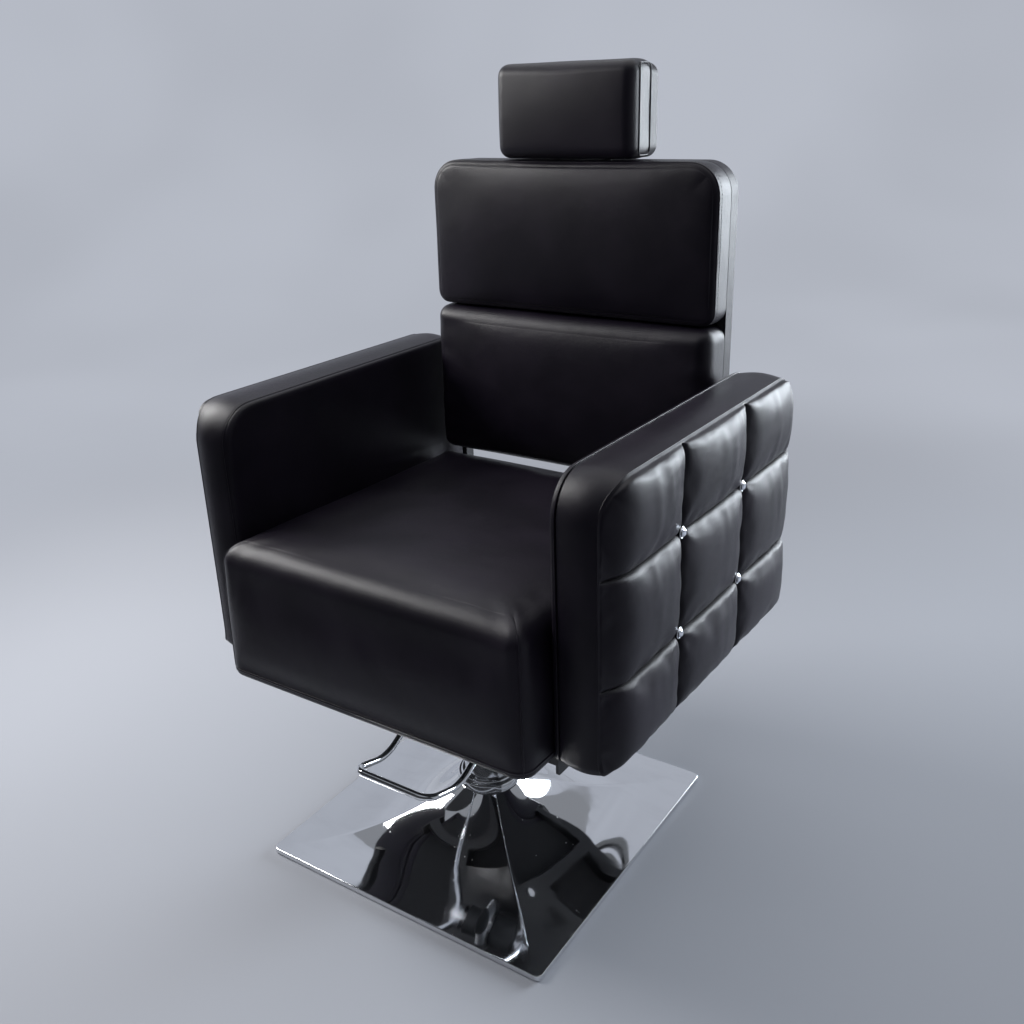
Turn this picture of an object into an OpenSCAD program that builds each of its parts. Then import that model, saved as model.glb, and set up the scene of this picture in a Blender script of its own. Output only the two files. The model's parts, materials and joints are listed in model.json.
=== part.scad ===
// Threading chair: a salon chair with a square pump base, tufted box arms, a reclining
// two-cushion back and a headrest that slides on two posts.
// Origin: the floor, on the axis of the column. The sitter faces -Y and +X is the sitter's left.

/* [Base] */
// Side of the square base
base_w = 510; // [470:5:560]
// Radius of the base's four corners, seen from above
base_corner_r = 9; // [6:1:20]
// Height of the base's upright rim
rim_h = 8; // [6:0.5:12]
// Height of the cover's neck above the rim
cover_rise = 74; // [60:1:90]
// Thickness of the pressed cover
cover_wall = 2.5; // [2:0.1:2.6]
// Radius of a rubber floor pad
pad_r = 24; // [18:1:28]
// Thickness of a rubber floor pad
pad_t = 3.2; // [2.6:0.1:3.4]

/* [Column and pump] */
// Outer radius of the chromed column tube
column_r = 40; // [36:1:44]
// Wall of the column tube
column_wall = 3; // [2:0.5:3.5]
// Length of the column tube
column_l = 229; // [200:1:260]
// Outer radius of the collar round the column's foot
collar_r = 52; // [49:1:58]
// Outer radius of the hydraulic cylinder
cylinder_r = 33; // [30:1:34]
// Bore radius of the hydraulic cylinder
cylinder_bore_r = 26; // [25:0.5:28]
// Radius of the polished ram
ram_r = 22; // [19:0.5:23]
// Lift of the ram
lift = 150; // [100:5:160]
// Height of the pump head casting
head_h = 32; // [30:1:40]
// Radius of the pedal shaft
shaft_r = 6; // [5:0.5:7]

/* [Pedal] */
// Distance between the middles of the pedal's two side rods
pedal_w = 138; // [126:1:160]
// Radius of the bent rod
rod_r = 5.5; // [4.5:0.5:6.5]
// Reach of the pedal's end bar in front of its shaft
pedal_reach = 189; // [170:1:210]
// Drop of the pedal's lowest bend below its shaft
pedal_dip = 59; // [45:1:70]
// Rise of the end bar above the lowest bend
pedal_rise = 23; // [10:1:35]

/* [Seat] */
// Width of the seat cushion
seat_w = 523; // [500:1:523]
// Depth of the seat cushion, front to back
seat_d = 542; // [524:1:548]
// Height of the seat cushion, from its underside to its edge
seat_t = 198; // [150:1:205]
// Height of the cushion's underside above the floor, at the column
seat_z = 333; // [333:1:380]
// Slope of the seat, in degrees, front up
seat_rake = 2.1; // [0:0.1:5]
// Side of the square steel tube of the seat frame
tube_w = 25; // [20:1:30]
// Wall of the frame tubes
tube_wall = 2; // [1.5:0.5:3]
// Thickness of the plywood boards under seat and inside the arms
board_t = 18; // [12:1:21]

/* [Arms] */
// Thickness of an arm's box, without its tufts
arm_t = 80; // [65:1:95]
// Reach of an arm past the seat's rear
arm_past = 69; // [40:1:110]
// Height of an arm
arm_h = 382; // [340:1:420]
// Height that the tufts stand out from the arm's outer face
tuft_puff = 14; // [6:1:18]
// Radius of a crystal button
button_r = 7.5; // [6:0.5:9]

/* [Back] */
// Distance from the seat's side in to the back's side
back_inset = 10.5; // [10:0.5:26]
// Height of the lower back cushion
lower_back_h = 251; // [220:1:260]
// Height of the upper back cushion
upper_back_h = 228; // [190:1:250]
// Depth of the lower back cushion in front of its board
lower_back_d = 46; // [35:1:60]
// Depth of the upper back cushion in front of its board
upper_back_d = 36; // [28:1:50]
// Lean of the back from the seat's square, in degrees
back_lean = 1; // [0:0.5:8]
// Recline of the back, in degrees
recline = 40; // [30:1:45]

/* [Headrest] */
// Width of the headrest
head_w = 238; // [200:1:270]
// Height of the headrest
headrest_h = 130; // [100:1:140]
// Depth of the headrest cushion in front of its board
headrest_d = 44; // [35:1:60]
// Distance between the two posts
post_gap = 90; // [70:1:120]
// Radius of a post
post_r = 6; // [5:0.5:6.5]
// Travel of the headrest on its posts
headrest_travel = 110; // [60:5:120]

/* [Recline strut] */
// Distance of the strut from the chair's middle
strut_x = 60; // [56:1:70]
// Outer radius of the gas strut's cylinder
strut_r = 9; // [8:0.5:10]
// Radius of the strut's rod
strut_rod_r = 4; // [3:0.5:4.5]
// Radius of the pin at each end of the strut
strut_pin_r = 4; // [3:0.5:4]

/* [Hidden] */
// Cuts reach this far past the face that they open
over = 1;
// Radial clearance of a shaft that turns or slides in its bore
run = 0.05;
// Gap between soft or faceted pieces and the rigid piece that they fit
ease = 0.5;
// Gap between flat faces that move past each other
play = 0.3;
$fn = 64;

// Base
rim_z = 2;
pad_inset = 48;
ballast_inset = 8;
ballast_w = base_w - 2 * (cover_wall + ballast_inset);
ballast_z = pad_t;
ballast_top = rim_z + rim_h - cover_wall - play;
ballast_t = ballast_top - ballast_z;
cover_top = rim_z + rim_h + cover_rise;
neck_cover = 3;
neck_gap = 1;
neck_r = collar_r - neck_cover;
neck_hole_r = column_r + neck_gap;
cover_power = 3;
cover_rings = 11;
liner_rings = 5;
ring_points = 56;
flange_r = 75;
flange_t = 6;
flange_bolt_pcd = 118;
flange_bolts_n = 6;
bolt_r = 4;
bolt_head_r = 7;
bolt_head_h = 5;
bolt_short = 1;

// Column and pump
column_z = ballast_top;
column_top = column_z + column_l;
collar_h = 14;
collar_step = 6;
cylinder_floor = 8;
head_overhang = 3;
head_r = column_r + head_overhang;
gland_r = 30;
gland_flange_r = 34;
gland_flange_t = 4;
gland_depth = 28;
gland_top = column_top + head_h + gland_flange_t;
piston_h = 22;
piston_rest = 21;
piston_z = column_z + cylinder_floor + piston_rest;
piston_ring_h = 6;
piston_ring_w = 3;
ram_show = 4;
ram_top = gland_top + ram_show;
spigot_r = 15;
spigot_h = 23;
washer_t = 3;
washer_r = 24;

// Pedal and plunger
shaft_y = -44;
shaft_rise = 20;
shaft_z = column_top + shaft_rise;
barrel_r = 13;
barrel_half = 48;
hub_r = 11;
hub_l = 22;
shaft_end = 3;
shaft_half = pedal_w / 2 + hub_l / 2 + shaft_end;
pedal_low_share = 0.63;
pedal_bend_r = 60;
pedal_corner_r = 20;
rocker_w = 12;
rocker_r = 9;
rocker_nose_r = 4.2;
rocker_reach = 22;
plunger_y = shaft_y - rocker_reach;
plunger_r = 5;
plunger_cap_r = 9;
plunger_cap_h = 4;
plunger_drop = 6;
plunger_show = 24;
plunger_short = 2;
plunger_top = shaft_z - plunger_drop;
guide_r = 10.5;
guide_h = 36;
guide_top = plunger_top - plunger_show;
web_t = 12;
web_gap = 2;
web_rise = 8;
slot_rise = 4;
spring_r = 7.3;
spring_wire_r = 0.9;
spring_turns = 5;
spring_steps = 14;
spring_sides = 6;
spring_least_gap = 0.4;

// Seat frame
tube_top = seat_z;
tube_z = seat_z - tube_w;
plate_t = 6;
plate_z = tube_z - plate_t;
plate_w = 250;
plate_l = 230;
plate_corner_r = 24;
rail_x = 110;
seat_front = -269;
seat_rear = seat_front + seat_d;
front_tube_in = 99;
rear_tube_in = 18;
front_tube_y = seat_front + front_tube_in;
rear_tube_y = seat_rear - rear_tube_in;
mount_y = 70;
mount_bite = 12;
hub_wall = 12;
hub_flare = 13;
hub_roof = 6;
pocket_wrap = 18;
seat_roll_side = 30;
seat_roll_front = 44;
seat_roll_rear = 26;
seat_corner_r = 36;
seat_crown = 9;
seat_draw = 2;
seat_tuck = 1;
seat_rise = 34;
seat_low_edge = 9;

// Arms
bracket_t = 4;
arm_in = seat_w / 2 + ease + bracket_t;
arm_setback = 56;
arm_front = seat_front + arm_setback;
arm_l = seat_rear + arm_past - arm_front;
arm_rise = 5;
arm_z = seat_z + arm_rise;
arm_mid_y = arm_front + arm_l / 2;
arm_mid_z = arm_z + arm_h / 2;
lining_t = 10;
arm_wrap = 8;
arm_edge = 6;
arm_bulge = 1;
arm_corner_r = [10, 12, 46, 56];
arm_bracket_w = 60;
arm_bracket_h = 100;
arm_bolt_r = 3;
arm_bolt_head_r = 6;
arm_bolt_pitch = 32;
arm_bolt_rise = 10;
arm_bolt_l = 26;
tuft_y_shares = [0, 0.33, 0.68, 1];
tuft_z_shares = [0, 0.305, 0.69, 1];
tuft_cells = 6;
button_stem_r = 2;
button_stem_h = 2.6;
button_h = 4.5;
button_top_share = 0.6;

// Back: local axes from the hinge, y to the rear, z up the back
hinge_back = 38;
hinge_rise = 47;
hinge_y = seat_rear + hinge_back;
hinge_z = seat_z + hinge_rise;
back_w = seat_w - 2 * back_inset;
shell_t = 3;
upright_t = 10;
upright_d = 20;
upright_x = back_w / 2 - shell_t - ease - upright_t;
upright_foot = 12;
hinge_r = 6;
hinge_ring = 16;
hinge_plate_t = 6;
hinge_gap = 1;
hinge_plate_x = upright_x + upright_t + hinge_gap;
hinge_head_t = 5;
hinge_head_r = 9;
torque_r = 12;
torque_wall = 3;
back_board_t = 9;
back_wrap = 9;
lower_back_z = 156;
back_gap = 4;
upper_back_z = lower_back_z + lower_back_h + back_gap;
back_top = upper_back_z + upper_back_h;
back_crown = 12;
back_draw = 2;
back_corner_low = 20;
back_corner_top = 46;
lower_back_edge = 22;
upper_back_edge = 8;
shell_clear = 0.3;
shell_rear = upright_d / 2 + shell_clear + shell_t;
shell_foot_rise = 37;
shell_foot = lower_back_z + shell_foot_rise;
upright_top = back_top - back_corner_top;
bar_clear = 2;
middle_bar_rise = 8;
guide_sleeve_r = 8.5;
sleeve_l = 96;
sleeve_drop = 8;
sleeve_z = back_top - sleeve_drop - sleeve_l;
sleeve_tail = 6;
bar_z = [
    shell_foot + shell_t + bar_clear + upright_d / 2,
    upper_back_z + middle_bar_rise,
    sleeve_z + sleeve_tail + upright_d / 2,
    upright_top - upright_d / 2
];

// Headrest
headrest_gap = 3;
headrest_z = back_top + headrest_gap;
headrest_clear = 1;
headrest_face = -post_r - headrest_clear;
headrest_edge = 15;
headrest_board_t = 9;
headrest_wrap = 8;
headrest_corner_r = 18;
headrest_crown = 8;
headrest_plate_t = 4;
headrest_plate_w = 150;
headrest_plate_h = 60;
headrest_shell_rear = 13;
post_grip = 40;
post_foot = sleeve_z + sleeve_l - post_grip - headrest_travel;
post_drop = 16;
post_top = headrest_z + headrest_h - post_drop;

// Recline strut: its front pin hangs under the seat plate, its rear eye rides on the back's lug
lug_angle = recline / 2;
strut_drop = 84;
lug_r = strut_drop / cos(recline / 2);
lug_y = hinge_y + lug_r * sin(lug_angle);
lug_z = hinge_z - lug_r * cos(lug_angle);
lug_t = 5;
lug_gap = 14;
eye_w = 12;
eye_r = 13;
eye_slack = 4.5;
clevis_y = 95;
clevis_drop = 9;
clevis_z = plate_z - clevis_drop;
clevis_t = 4;
rod_eye_r = 7.5;
strut_l = norm([lug_y - clevis_y, lug_z - clevis_z]);
strut_tilt = atan2(lug_z - clevis_z, lug_y - clevis_y);
strut_travel = 2 * lug_r * sin(recline / 2);
strut_bore_r = 7.4;
strut_wall = 5;
strut_reserve = 10;
strut_neck_l = 8;
strut_front = rod_eye_r + strut_travel + strut_reserve;
strut_rear = strut_l - eye_r - strut_neck_l;
strut_neck_r = 5;
strut_piston_l = 8;

// Release lever
lever_lead = 20;
lever_drop = 12;
lever_reach = 26;
lever_past = 7;
lever_y = clevis_y - lever_lead;
lever_z = clevis_z - lever_drop;
lever_r = 5;
lever_out = arm_in + lever_reach;
lever_in = strut_x + lever_past;
lever_l = 128;
lever_t = 6;
lever_cam_w = 8;
lever_plate_t = 6;
lever_plate_w = 18;
lever_plate_out = 95;
lever_plate_in = 30;
lever_plate_x = [-lever_plate_out, lever_plate_in];
lever_eye_share = 1.8;
cam_share = 1.6;
cam_past = 1;
grip_l = 62;
grip_w = 22;
grip_t = 12;
grip_past = 8;
grip_edge = 1;
valve_r = 2.5;

// The seat and all that it carries slope by the rake about the column's axis.
module raked() {
    translate([0, 0, arm_z])
        rotate([-seat_rake, 0, 0])
            translate([0, 0, -arm_z])
                children();
}

// The back's own axes: origin on the hinge, y to the rear, z up the back.
module on_back() {
    raked()
        translate([0, hinge_y, hinge_z])
            rotate([-back_lean, 0, 0])
                children();
}

// Turns a piece drawn along +Z so that it runs along +X.
module along_x() {
    rotate([90, 0, 90]) children();
}

module mirrored_x() {
    children();
    mirror([1, 0, 0]) children();
}

// A rectangle with one radius a corner, from the lower left round to the upper left.
module round_rect(w, h, radii) {
    sides = [[-1, -1], [1, -1], [1, 1], [-1, 1]];
    polygon([
        for (i = [0:3])
            let (s = sides[i], r = radii[i], c = [s[0] * w / 2, s[1] * h / 2])
            for (k = i % 2 == 0 ? [0, 1] : [1, 0])
                k == 0 ? [c[0], c[1] - s[1] * r] : [c[0] - s[0] * r, c[1]]
    ]);
    for (i = [0:3])
        translate([sides[i][0] * (w / 2 - radii[i]), sides[i][1] * (h / 2 - radii[i])])
            circle(radii[i]);
}

module even_rect(w, h, r) {
    round_rect(w, h, [r, r, r, r]);
}

// A square tube along +Z.
module square_tube(w, d, l, wall) {
    difference() {
        translate([-w / 2, -d / 2, 0]) cube([w, d, l]);
        translate([wall - w / 2, wall - d / 2, -over])
            cube([w - 2 * wall, d - 2 * wall, l + 2 * over]);
    }
}

// A bolt along +Z with a six-sided head below the origin.
module hex_bolt(r, l, head_r, head_h) {
    cylinder(r = r, h = l);
    translate([0, 0, -head_h]) cylinder(r = head_r, h = head_h, $fn = 6);
}

// Bent round rod: straight runs along the points, with an arc of its own radius at each inner
// point. A run is a hair thinner than the arcs and enters each of them a little.
function unit(v) = v / norm(v);
function frame_of(x, z, o) = let (y = cross(z, x))
    [[x[0], y[0], z[0], o[0]], [x[1], y[1], z[1], o[1]], [x[2], y[2], z[2], o[2]], [0, 0, 0, 1]];
function any_side(z) = unit(cross(abs(z[0]) < 0.9 ? [1, 0, 0] : [0, 1, 0], z));
function turn_at(p, i) =
    (i == 0 || i == len(p) - 1) ? 0 : acos(unit(p[i] - p[i - 1]) * unit(p[i + 1] - p[i]));

module bent_rod(p, bends, r) {
    last = len(p) - 1;
    bite = over / 2;
    trim = [for (i = [0:last]) bends[i] * tan(turn_at(p, i) / 2)];
    for (i = [0:last - 1]) {
        d = unit(p[i + 1] - p[i]);
        multmatrix(frame_of(any_side(d), d, p[i] + (trim[i] - bite) * d))
            cylinder(r = r - run, h = norm(p[i + 1] - p[i]) - trim[i] - trim[i + 1] + 2 * bite);
    }
    for (i = [1:last - 1]) {
        d1 = unit(p[i] - p[i - 1]);
        d2 = unit(p[i + 1] - p[i]);
        centre = p[i] + unit(d2 - d1) * bends[i] / cos(turn_at(p, i) / 2);
        start = p[i] - d1 * trim[i];
        multmatrix(frame_of(unit(start - centre), unit(cross(d1, d2)), centre))
            rotate_extrude(angle = turn_at(p, i))
                translate([bends[i], 0]) circle(r);
    }
}

// Upholstery: a face of grid lines at shares gu and gv of its two sides, walls of rings behind it.
// Each ring is [inset at the sides, inset at the low end, inset at the high end, height, draw].
// The draw pulls a ring in between its corners. face(s, t) lifts the grid above the last ring.
function corner_of(u, v, radii) =
    v < 0 ? (u < 0 ? radii[0] : radii[1]) : (u < 0 ? radii[3] : radii[2]);
function rounded(u, v, a, b, r) =
    let (du = abs(u) - a + r, dv = abs(v) - b + r)
    (du <= 0 || dv <= 0) ? [u, v]
        : let (k = max(du, dv) / norm([du, dv]))
          [sign(u) * (a - r + du * k), sign(v) * (b - r + dv * k)];
function bow(s) = 4 * s * (1 - s);
function pad_point(s, t, size, radii, ring, lift) =
    let (
        a = size[0] / 2 - ring[0],
        b = (size[1] - ring[1] - ring[2]) / 2,
        u = (2 * s - 1) * a,
        v = (2 * t - 1) * b,
        inset = min(ring[0], ring[1], ring[2]),
        full = corner_of(u, v, radii),
        r = min(max(full - inset, full / 4), a, b),
        p = rounded(u, v, a, b, r),
        pull = ring[4] * [(s == 0 ? 1 : s == 1 ? -1 : 0) * bow(t), (t == 0 ? 1 : t == 1 ? -1 : 0) * bow(s)]
    )
    [p[0] + pull[0], p[1] + (ring[1] - ring[2]) / 2 + pull[1], ring[3] + lift];
function rim_shares(gu, gv) =
    let (n = len(gu) - 1, m = len(gv) - 1)
    concat(
        [for (i = [0:n - 1]) [gu[i], gv[0]]],
        [for (j = [0:m - 1]) [gu[n], gv[j]]],
        [for (i = [n:-1:1]) [gu[i], gv[m]]],
        [for (j = [m:-1:1]) [gu[0], gv[j]]]
    );
function rim_index(i, j, n, m) =
    j == 0 ? i : i == n ? n + j : j == m ? 2 * n + m - i : 2 * n + 2 * m - j;

module pad_body(gu, gv, size, radii, rings, face) {
    n = len(gu) - 1;
    m = len(gv) - 1;
    around = 2 * (n + m);
    last = len(rings) - 1;
    rim = rim_shares(gu, gv);
    walls = [for (ring = rings, q = rim) pad_point(q[0], q[1], size, radii, ring, 0)];
    inner = [
        for (j = [1:m - 1], i = [1:n - 1])
            pad_point(gu[i], gv[j], size, radii, rings[last], face(gu[i], gv[j]))
    ];
    shift = (rings[0][1] - rings[0][2]) / 2;
    points = concat(walls, inner, [[0, shift, rings[0][3]]]);
    at = function (i, j)
        (i == 0 || j == 0 || i == n || j == m)
            ? last * around + rim_index(i, j, n, m)
            : (last + 1) * around + (j - 1) * (n - 1) + i - 1;
    sides = [
        for (k = [0:last - 1], i = [0:around - 1])
            let (a = k * around + i, b = k * around + (i + 1) % around)
            each [[b, a, a + around], [b, a + around, b + around]]
    ];
    top = [
        for (j = [0:m - 1], i = [0:n - 1])
            each [[at(i + 1, j), at(i, j), at(i + 1, j + 1)], [at(i, j), at(i, j + 1), at(i + 1, j + 1)]]
    ];
    floor = [for (i = [0:around - 1]) [i, (i + 1) % around, len(points) - 1]];
    polyhedron(points = points, faces = concat(sides, top, floor));
}

// Grid lines between the marks, closer together beside each mark.
function lines_between(marks, cells) = concat(
    [marks[0]],
    [
        for (k = [0:len(marks) - 2], i = [1:cells])
            i == cells ? marks[k + 1]
                : marks[k] + (marks[k + 1] - marks[k]) * (1 - cos(180 * i / cells)) / 2
    ]
);
function panel_share(s, marks) =
    let (k = [for (i = [0:len(marks) - 2]) if (s <= marks[i + 1]) i][0])
    (s - marks[k]) / (marks[k + 1] - marks[k]);
function swell(s, marks) = sqrt(max(0, bow(panel_share(s, marks))));
function pillow(s, t) = pow(bow(s) * bow(t), 0.55);
// Rings of a rolled edge from an upright wall over to the face.
function rolled(side, low, high, z, rise, steps) = [
    for (k = [0:steps])
        let (c = 1 - cos(90 * k / steps))
        [side * c, low * c, high * c, z + rise * sin(90 * k / steps), 0]
];
// Rings of a pocket that a board lies in: its roof and the foot of its wall.
function pocket(wrap, depth) = [[wrap, wrap, wrap, depth, 0], [wrap, wrap, wrap, 0, 0]];

// Base

module floor_pads() {
    spread = base_w / 2 - pad_inset;
    color("#151515") {
        cylinder(r = pad_r, h = pad_t);
        for (x = [-1, 1], y = [-1, 1])
            translate([x * spread, y * spread, 0]) cylinder(r = pad_r, h = pad_t);
    }
}

module flange_holes(r, z, h) {
    for (i = [0:flange_bolts_n - 1])
        rotate([0, 0, (i + 0.5) * 360 / flange_bolts_n])
            translate([flange_bolt_pcd / 2, 0, z]) cylinder(r = r, h = h);
}

module ballast_plate() {
    color("#2a2a2c")
        difference() {
            translate([0, 0, ballast_z])
                linear_extrude(ballast_t) even_rect(ballast_w, ballast_w, base_corner_r);
            flange_holes(bolt_r, ballast_z - over, ballast_t + 2 * over);
        }
}

// Outline of the cover at a share b of the way from the rim to the neck: a square with round
// corners that turns into a circle, seen from above at an angle.
function square_point(angle, half, r) =
    let (c = cos(angle), s = sin(angle), k = half / max(abs(c), abs(s)))
    rounded(c * k, s * k, half, half, r);
function cover_point(i, b, inset, z) =
    let (
        angle = 360 * i / ring_points,
        p = square_point(angle, base_w / 2 - inset, base_corner_r),
        q = (neck_r - inset) * [cos(angle), sin(angle)],
        g = (1 - b) * p + b * q
    )
    [g[0], g[1], z];
function cover_z(b) = rim_z + rim_h + cover_rise * pow(b, cover_power);

// The pressed bell: a low square rim, four ridges that fade up to a round neck, open below.
module base_cover() {
    outer = [for (k = [0:cover_rings]) let (b = k / cover_rings) [b, 0, cover_z(b)]];
    inner = [
        for (k = [liner_rings:-1:0])
            let (b = k / liner_rings) [b, cover_wall, cover_z(b) - cover_wall]
    ];
    levels = concat(
        [[0, cover_wall, rim_z], [0, 0, rim_z]],
        outer,
        [[1, neck_r - neck_hole_r, cover_top], [1, neck_r - neck_hole_r, cover_top - cover_wall]],
        inner
    );
    rows = len(levels);
    points = [
        for (l = levels, i = [0:ring_points - 1]) cover_point(i, l[0], l[1], l[2])
    ];
    faces = [
        for (k = [0:rows - 1], i = [0:ring_points - 1])
            let (
                j = (i + 1) % ring_points,
                a = k * ring_points,
                b = ((k + 1) % rows) * ring_points
            )
            each [[a + j, a + i, b + i], [a + j, b + i, b + j]]
    ];
    color("#c9ccd2") polyhedron(points = points, faces = faces);
}

module column_flange() {
    color("#3a3a3d")
        difference() {
            translate([0, 0, ballast_top]) cylinder(r = flange_r, h = flange_t);
            translate([0, 0, ballast_top - over]) cylinder(r = column_r, h = flange_t + 2 * over);
            flange_holes(bolt_r, ballast_top - over, flange_t + 2 * over);
        }
}

module flange_bolts() {
    color("#8d9096")
        for (i = [0:flange_bolts_n - 1])
            rotate([0, 0, (i + 0.5) * 360 / flange_bolts_n])
                translate([flange_bolt_pcd / 2, 0, ballast_top + flange_t])
                    rotate([180, 0, 0])
                        hex_bolt(bolt_r, ballast_t + flange_t - bolt_short, bolt_head_r, bolt_head_h);
}

module column_tube() {
    color("#d4d7dc")
        translate([0, 0, column_z])
            difference() {
                cylinder(r = column_r, h = column_l);
                translate([0, 0, -over])
                    cylinder(r = column_r - column_wall, h = column_l + 2 * over);
            }
}

// Stepped trim ring that closes the cover's neck on the column.
module collar_ring() {
    lip = 3;
    color("#d4d7dc")
        translate([0, 0, cover_top])
            rotate_extrude() {
                translate([column_r + run, 0])
                    square([collar_r - lip - column_r - run, collar_h]);
                translate([column_r + run, 0]) square([collar_r - column_r - run, collar_h - lip]);
                translate([collar_r - lip, collar_h - lip]) circle(lip);
                translate([column_r + run, collar_h])
                    square([collar_step, collar_step / 2]);
                translate([column_r + run, collar_h + collar_step / 2])
                    square([collar_step - lip / 2, lip / 2]);
            }
}

module pump_cylinder() {
    color("#5b5e63")
        translate([0, 0, column_z])
            difference() {
                cylinder(r = cylinder_r, h = column_l);
                translate([0, 0, cylinder_floor])
                    cylinder(r = cylinder_bore_r, h = column_l);
            }
}

// Casting on top of the column: it carries the gland, the pedal shaft's cross barrel and, in
// front, the plunger's guide on a web.
module pump_head() {
    color("#46484c")
        difference() {
            union() {
                translate([0, 0, column_top]) cylinder(r = head_r, h = head_h);
                translate([-barrel_half, shaft_y, shaft_z])
                    along_x() cylinder(r = barrel_r, h = 2 * barrel_half);
                translate([-web_t / 2, plunger_y + guide_r, guide_top - guide_h])
                    cube([
                        web_t,
                        -column_r - web_gap - plunger_y - guide_r,
                        column_top + web_rise - guide_top + guide_h
                    ]);
                translate([-web_t / 2, plunger_y, guide_top - guide_h])
                    cube([web_t, guide_r + over, guide_h]);
                translate([0, plunger_y, guide_top - guide_h]) cylinder(r = guide_r, h = guide_h);
            }
            translate([0, 0, column_top - over]) cylinder(r = gland_r, h = head_h + 2 * over);
            translate([-barrel_half - over, shaft_y, shaft_z])
                along_x() cylinder(r = shaft_r + run, h = 2 * (barrel_half + over));
            translate([0, plunger_y, guide_top - guide_h - over])
                cylinder(r = plunger_r + run, h = guide_h + 2 * over);
            translate([-rocker_w / 2 - over, plunger_y - guide_r, column_top + slot_rise])
                cube([rocker_w + 2 * over, shaft_y + rocker_r + play - plunger_y + guide_r, head_h]);
        }
}

module ram_gland() {
    color("#b08d4a")
        difference() {
            union() {
                translate([0, 0, column_top + head_h - gland_depth])
                    cylinder(r = gland_r, h = gland_depth);
                translate([0, 0, column_top + head_h]) cylinder(r = gland_flange_r, h = gland_flange_t);
            }
            translate([0, 0, column_top + head_h - gland_depth - over])
                cylinder(r = ram_r + run, h = gland_depth + gland_flange_t + 2 * over);
        }
}

// Return spring round the plunger: one tube that climbs in a helix, its ends square to the axis.
module pump_spring() {
    low = guide_top + play + spring_wire_r;
    high = plunger_top - plunger_cap_h - play - spring_wire_r;
    rings = spring_turns * spring_steps;
    pitch = (high - low) / rings;
    slope = atan2(pitch, 2 * spring_r * sin(180 / spring_steps));
    gap = (high - low) / spring_turns - 2 * spring_wire_r / cos(slope);
    echo(spring_gap = gap);
    assert(gap > spring_least_gap, "the spring's coils touch");
    points = [
        for (i = [0:rings], k = [0:spring_sides - 1])
            let (
                a = 360 * i / spring_steps,
                c = 360 * k / spring_sides,
                out = spring_wire_r * cos(c),
                up = spring_wire_r * sin(c)
            )
            [
                (spring_r + out) * cos(a) + up * sin(slope) * sin(a),
                (spring_r + out) * sin(a) - up * sin(slope) * cos(a),
                low + pitch * i + up * cos(slope)
            ]
    ];
    walls = [
        for (i = [0:rings - 1], k = [0:spring_sides - 1])
            let (
                a = i * spring_sides + k,
                b = i * spring_sides + (k + 1) % spring_sides
            )
            each [[a, b, b + spring_sides], [a, b + spring_sides, a + spring_sides]]
    ];
    caps = [
        [for (k = [spring_sides - 1:-1:0]) k],
        [for (k = [0:spring_sides - 1]) rings * spring_sides + k]
    ];
    color("#9a9da3")
        translate([0, plunger_y, 0])
            polyhedron(points = points, faces = concat(walls, caps));
}

// Pedal

module pedal_shaft() {
    color("#b4b7bc")
        translate([-shaft_half, shaft_y, shaft_z]) along_x() cylinder(r = shaft_r, h = 2 * shaft_half);
}

// One bent rod from hub to hub: down to a low bend on each side, then up to the end bar.
module pedal_bar() {
    x = pedal_w / 2;
    root = [x, shaft_y, shaft_z];
    low = [x, shaft_y - pedal_reach * pedal_low_share, shaft_z - pedal_dip];
    tip = [x, shaft_y - pedal_reach, shaft_z - pedal_dip + pedal_rise];
    other = function (p) [-p[0], p[1], p[2]];
    color("#ccd0d6")
        difference() {
            union() {
                bent_rod(
                    [root, low, tip, other(tip), other(low), other(root)],
                    [0, pedal_bend_r, pedal_corner_r, pedal_corner_r, pedal_bend_r, 0],
                    rod_r
                );
                mirrored_x()
                    translate([x - hub_l / 2, shaft_y, shaft_z])
                        along_x() cylinder(r = hub_r, h = hub_l);
            }
            translate([-shaft_half - over, shaft_y, shaft_z])
                along_x() cylinder(r = shaft_r, h = 2 * (shaft_half + over));
        }
}

module pump_rocker() {
    nose_z = plunger_top + play + rocker_nose_r;
    color("#77797e")
        translate([-rocker_w / 2, 0, 0])
            along_x()
                linear_extrude(rocker_w)
                    difference() {
                        union() {
                            translate([shaft_y, shaft_z]) circle(rocker_r);
                            translate([plunger_y, nose_z]) circle(rocker_nose_r);
                            polygon([
                                [plunger_y, nose_z - rocker_nose_r],
                                [shaft_y, nose_z - rocker_nose_r],
                                [shaft_y, shaft_z + rocker_r],
                                [plunger_y, nose_z + rocker_nose_r]
                            ]);
                        }
                        translate([shaft_y, shaft_z]) circle(shaft_r);
                    }
}

module pump_plunger() {
    color("#c2c5ca")
        translate([0, plunger_y, 0]) {
            translate([0, 0, guide_top - guide_h + plunger_short])
                cylinder(r = plunger_r, h = plunger_show + guide_h - plunger_short);
            translate([0, 0, plunger_top - plunger_cap_h]) cylinder(r = plunger_cap_r, h = plunger_cap_h);
        }
}

// Ram

module ram() {
    color("#dfe1e5") {
        translate([0, 0, piston_z + piston_h]) cylinder(r = ram_r, h = ram_top - piston_z - piston_h);
        translate([0, 0, ram_top]) cylinder(r = spigot_r, h = spigot_h);
    }
}

module ring_groove(r) {
    translate([0, 0, piston_z + (piston_h - piston_ring_h) / 2])
        difference() {
            cylinder(r = r, h = piston_ring_h);
            translate([0, 0, -over])
                cylinder(r = cylinder_bore_r - piston_ring_w, h = piston_ring_h + 2 * over);
        }
}

module ram_piston() {
    color("#8a8d92")
        difference() {
            translate([0, 0, piston_z]) cylinder(r = cylinder_bore_r - run, h = piston_h);
            ring_groove(cylinder_bore_r + over);
        }
}

module piston_ring() {
    color("#101010") ring_groove(cylinder_bore_r - run);
}

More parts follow.
